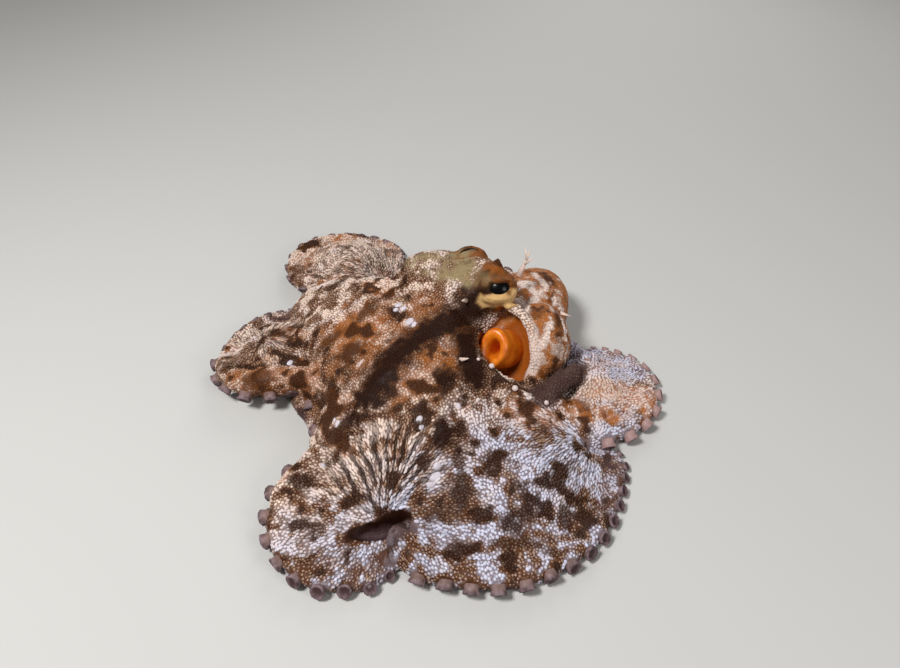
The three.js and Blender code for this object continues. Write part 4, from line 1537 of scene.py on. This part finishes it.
def bezier(a, b, c, t):
    """A point on a curve through a and c, drawn towards b."""
    return a * (1 - t) ** 2 + b * 2 * t * (1 - t) + c * t * t


def funnel_material(colours):
    """Orange flesh, with painted shade inside the funnel's mouth."""
    material, tree, shader = new_material("funnel_flesh", FUNNEL_SURFACE)
    mottle = texture_node(tree, "ShaderNodeTexNoise", object_place(tree), 240, detail=3).outputs["Fac"]
    flesh, shade = tuple(colours.funnel), tuple(colours.funnel_shade)
    outer = mix_node(tree, ramp_node(tree, mottle, 0.35, 0.7), flesh, shade)
    colour = mix_node(tree, attribute_node(tree, "bore_shade")["Fac"], outer, tuple(colours.bore_shade))
    link(tree, colour, shader.inputs["Base Color"])
    return material


class OCTOPUS_OT_eyes(bpy.types.Operator):
    """Build the two eyeballs with their bar-shaped pupils"""

    bl_idname = "octopus.eyes"
    bl_label = "Eyes"

    def execute(self, context):
        _, colours = settings()
        for side, eye in EYES.items():
            right, up, gaze = eye_frame(eye)
            axes = Matrix((right, up, gaze)).transposed().to_4x4()
            place = Matrix.Translation(Vector(eye["centre"]) * MM) @ axes
            bm = bmesh.new()
            bmesh.ops.create_uvsphere(bm, u_segments=64, v_segments=32, radius=EYE_RADIUS * MM, matrix=place)
            made = new_object(f"eyeball_{side}", bm)
            ride_as(made, (f"eye_{side}",), eye_material(side, place, eye, colours))
        return {"FINISHED"}


def eye_material(side, place, eye, colours):
    """A dark bar of a pupil in a brown iris."""
    material, tree, shader = new_material(f"eye_{side}", EYE_SURFACE)
    mapping = tree.nodes.new("ShaderNodeMapping")
    mapping.vector_type = "TEXTURE"
    mapping.inputs["Location"].default_value = place.translation
    mapping.inputs["Rotation"].default_value = place.to_euler()
    link(tree, object_place(tree), mapping.inputs["Vector"])
    split = tree.nodes.new("ShaderNodeSeparateXYZ")
    link(tree, mapping.outputs["Vector"], split.inputs["Vector"])
    away = []
    for axis, opening, margin in zip("XY", eye["opening"], PUPIL_MARGIN):
        share = math_node(tree, "DIVIDE", split.outputs[axis], (opening - margin) * MM)
        away.append(math_node(tree, "POWER", math_node(tree, "ABSOLUTE", share), PUPIL_POWER))
    outline = math_node(tree, "ADD", *away)
    fibres = texture_node(tree, "ShaderNodeTexNoise", mapping.outputs["Vector"], 700, detail=4).outputs["Fac"]
    iris = mix_node(tree, ramp_node(tree, fibres, 0.3, 0.7), tuple(colours.iris), tuple(colours.iris_dark))
    colour = mix_node(tree, ramp_node(tree, outline, 1.15, 0.9), iris, tuple(colours.pupil))
    link(tree, colour, shader.inputs["Base Color"])
    return material


class OCTOPUS_OT_stage(bpy.types.Operator):
    """Set the floor, the soft lights and the camera"""

    bl_idname = "octopus.stage"
    bl_label = "Stage"

    def execute(self, context):
        _, colours = settings()
        scene = context.scene
        bm = bmesh.new()
        bmesh.ops.create_grid(bm, x_segments=1, y_segments=1, size=FLOOR_HALF)
        floor = new_object("floor", bm)
        material, _, shader = new_material("floor", FLOOR_SURFACE)
        shader.inputs["Base Color"].default_value = (*colours.floor, 1)
        floor.data.materials.append(material)

        world = bpy.data.worlds.new("studio")
        world.use_nodes = True
        light = world.node_tree.nodes["Background"].inputs
        light["Color"].default_value, light["Strength"].default_value = (1, 1, 1, 1), WORLD_STRENGTH
        scene.world = world
        for name, spot, aim, width, power in LAMPS:
            lamp = bpy.data.lights.new(name, "AREA")
            lamp.shape, lamp.size, lamp.energy = "DISK", width, power
            made = bpy.data.objects.new(name, lamp)
            made.location = spot
            made.rotation_euler = (Vector(aim) - Vector(spot)).to_track_quat("-Z", "Y").to_euler()
            scene.collection.objects.link(made)

        lens = bpy.data.cameras.new("camera")
        lens.lens, lens.sensor_width = LENS, SENSOR_WIDTH
        lens.clip_start, lens.clip_end = CAMERA_SEES
        camera = bpy.data.objects.new("camera", lens)
        camera.location = CAMERA_PLACE
        camera.rotation_euler = (math.radians(CAMERA_TILT), 0, 0)
        scene.collection.objects.link(camera)
        scene.camera = camera
        scene.view_settings.view_transform = "Standard"
        return {"FINISHED"}


class OCTOPUS_PT_panel(bpy.types.Panel):
    """Lists the pieces of the octopus in the sidebar"""

    bl_idname = "OCTOPUS_PT_panel"
    bl_label = "Octopus"
    bl_space_type = "VIEW_3D"
    bl_region_type = "UI"
    bl_category = "Octopus"

    def draw(self, context):
        for group in (context.scene.octopus_sizes, context.scene.octopus_colours):
            for name in group.__annotations__:
                self.layout.prop(group, name)
        for operator in OPERATORS:
            self.layout.operator(operator.bl_idname)


OPERATORS = (
    OCTOPUS_OT_skin, OCTOPUS_OT_granules, OCTOPUS_OT_warts, OCTOPUS_OT_papillae, OCTOPUS_OT_suckers,
    OCTOPUS_OT_funnel, OCTOPUS_OT_eyes, OCTOPUS_OT_stage,
)
CLASSES = (OctopusSizes, OctopusColours, *OPERATORS, OCTOPUS_PT_panel)


def register():
    for made in CLASSES:
        bpy.utils.register_class(made)
    bpy.types.Scene.octopus_sizes = bpy.props.PointerProperty(type=OctopusSizes)
    bpy.types.Scene.octopus_colours = bpy.props.PointerProperty(type=OctopusColours)


def unregister():
    del bpy.types.Scene.octopus_colours
    del bpy.types.Scene.octopus_sizes
    for made in reversed(CLASSES):
        bpy.utils.unregister_class(made)


def main():
    """Runs every operator in order."""
    register()
    for operator in OPERATORS:
        group, name = operator.bl_idname.split(".")
        getattr(getattr(bpy.ops, group), name)()


if __name__ == "__main__":
    main()
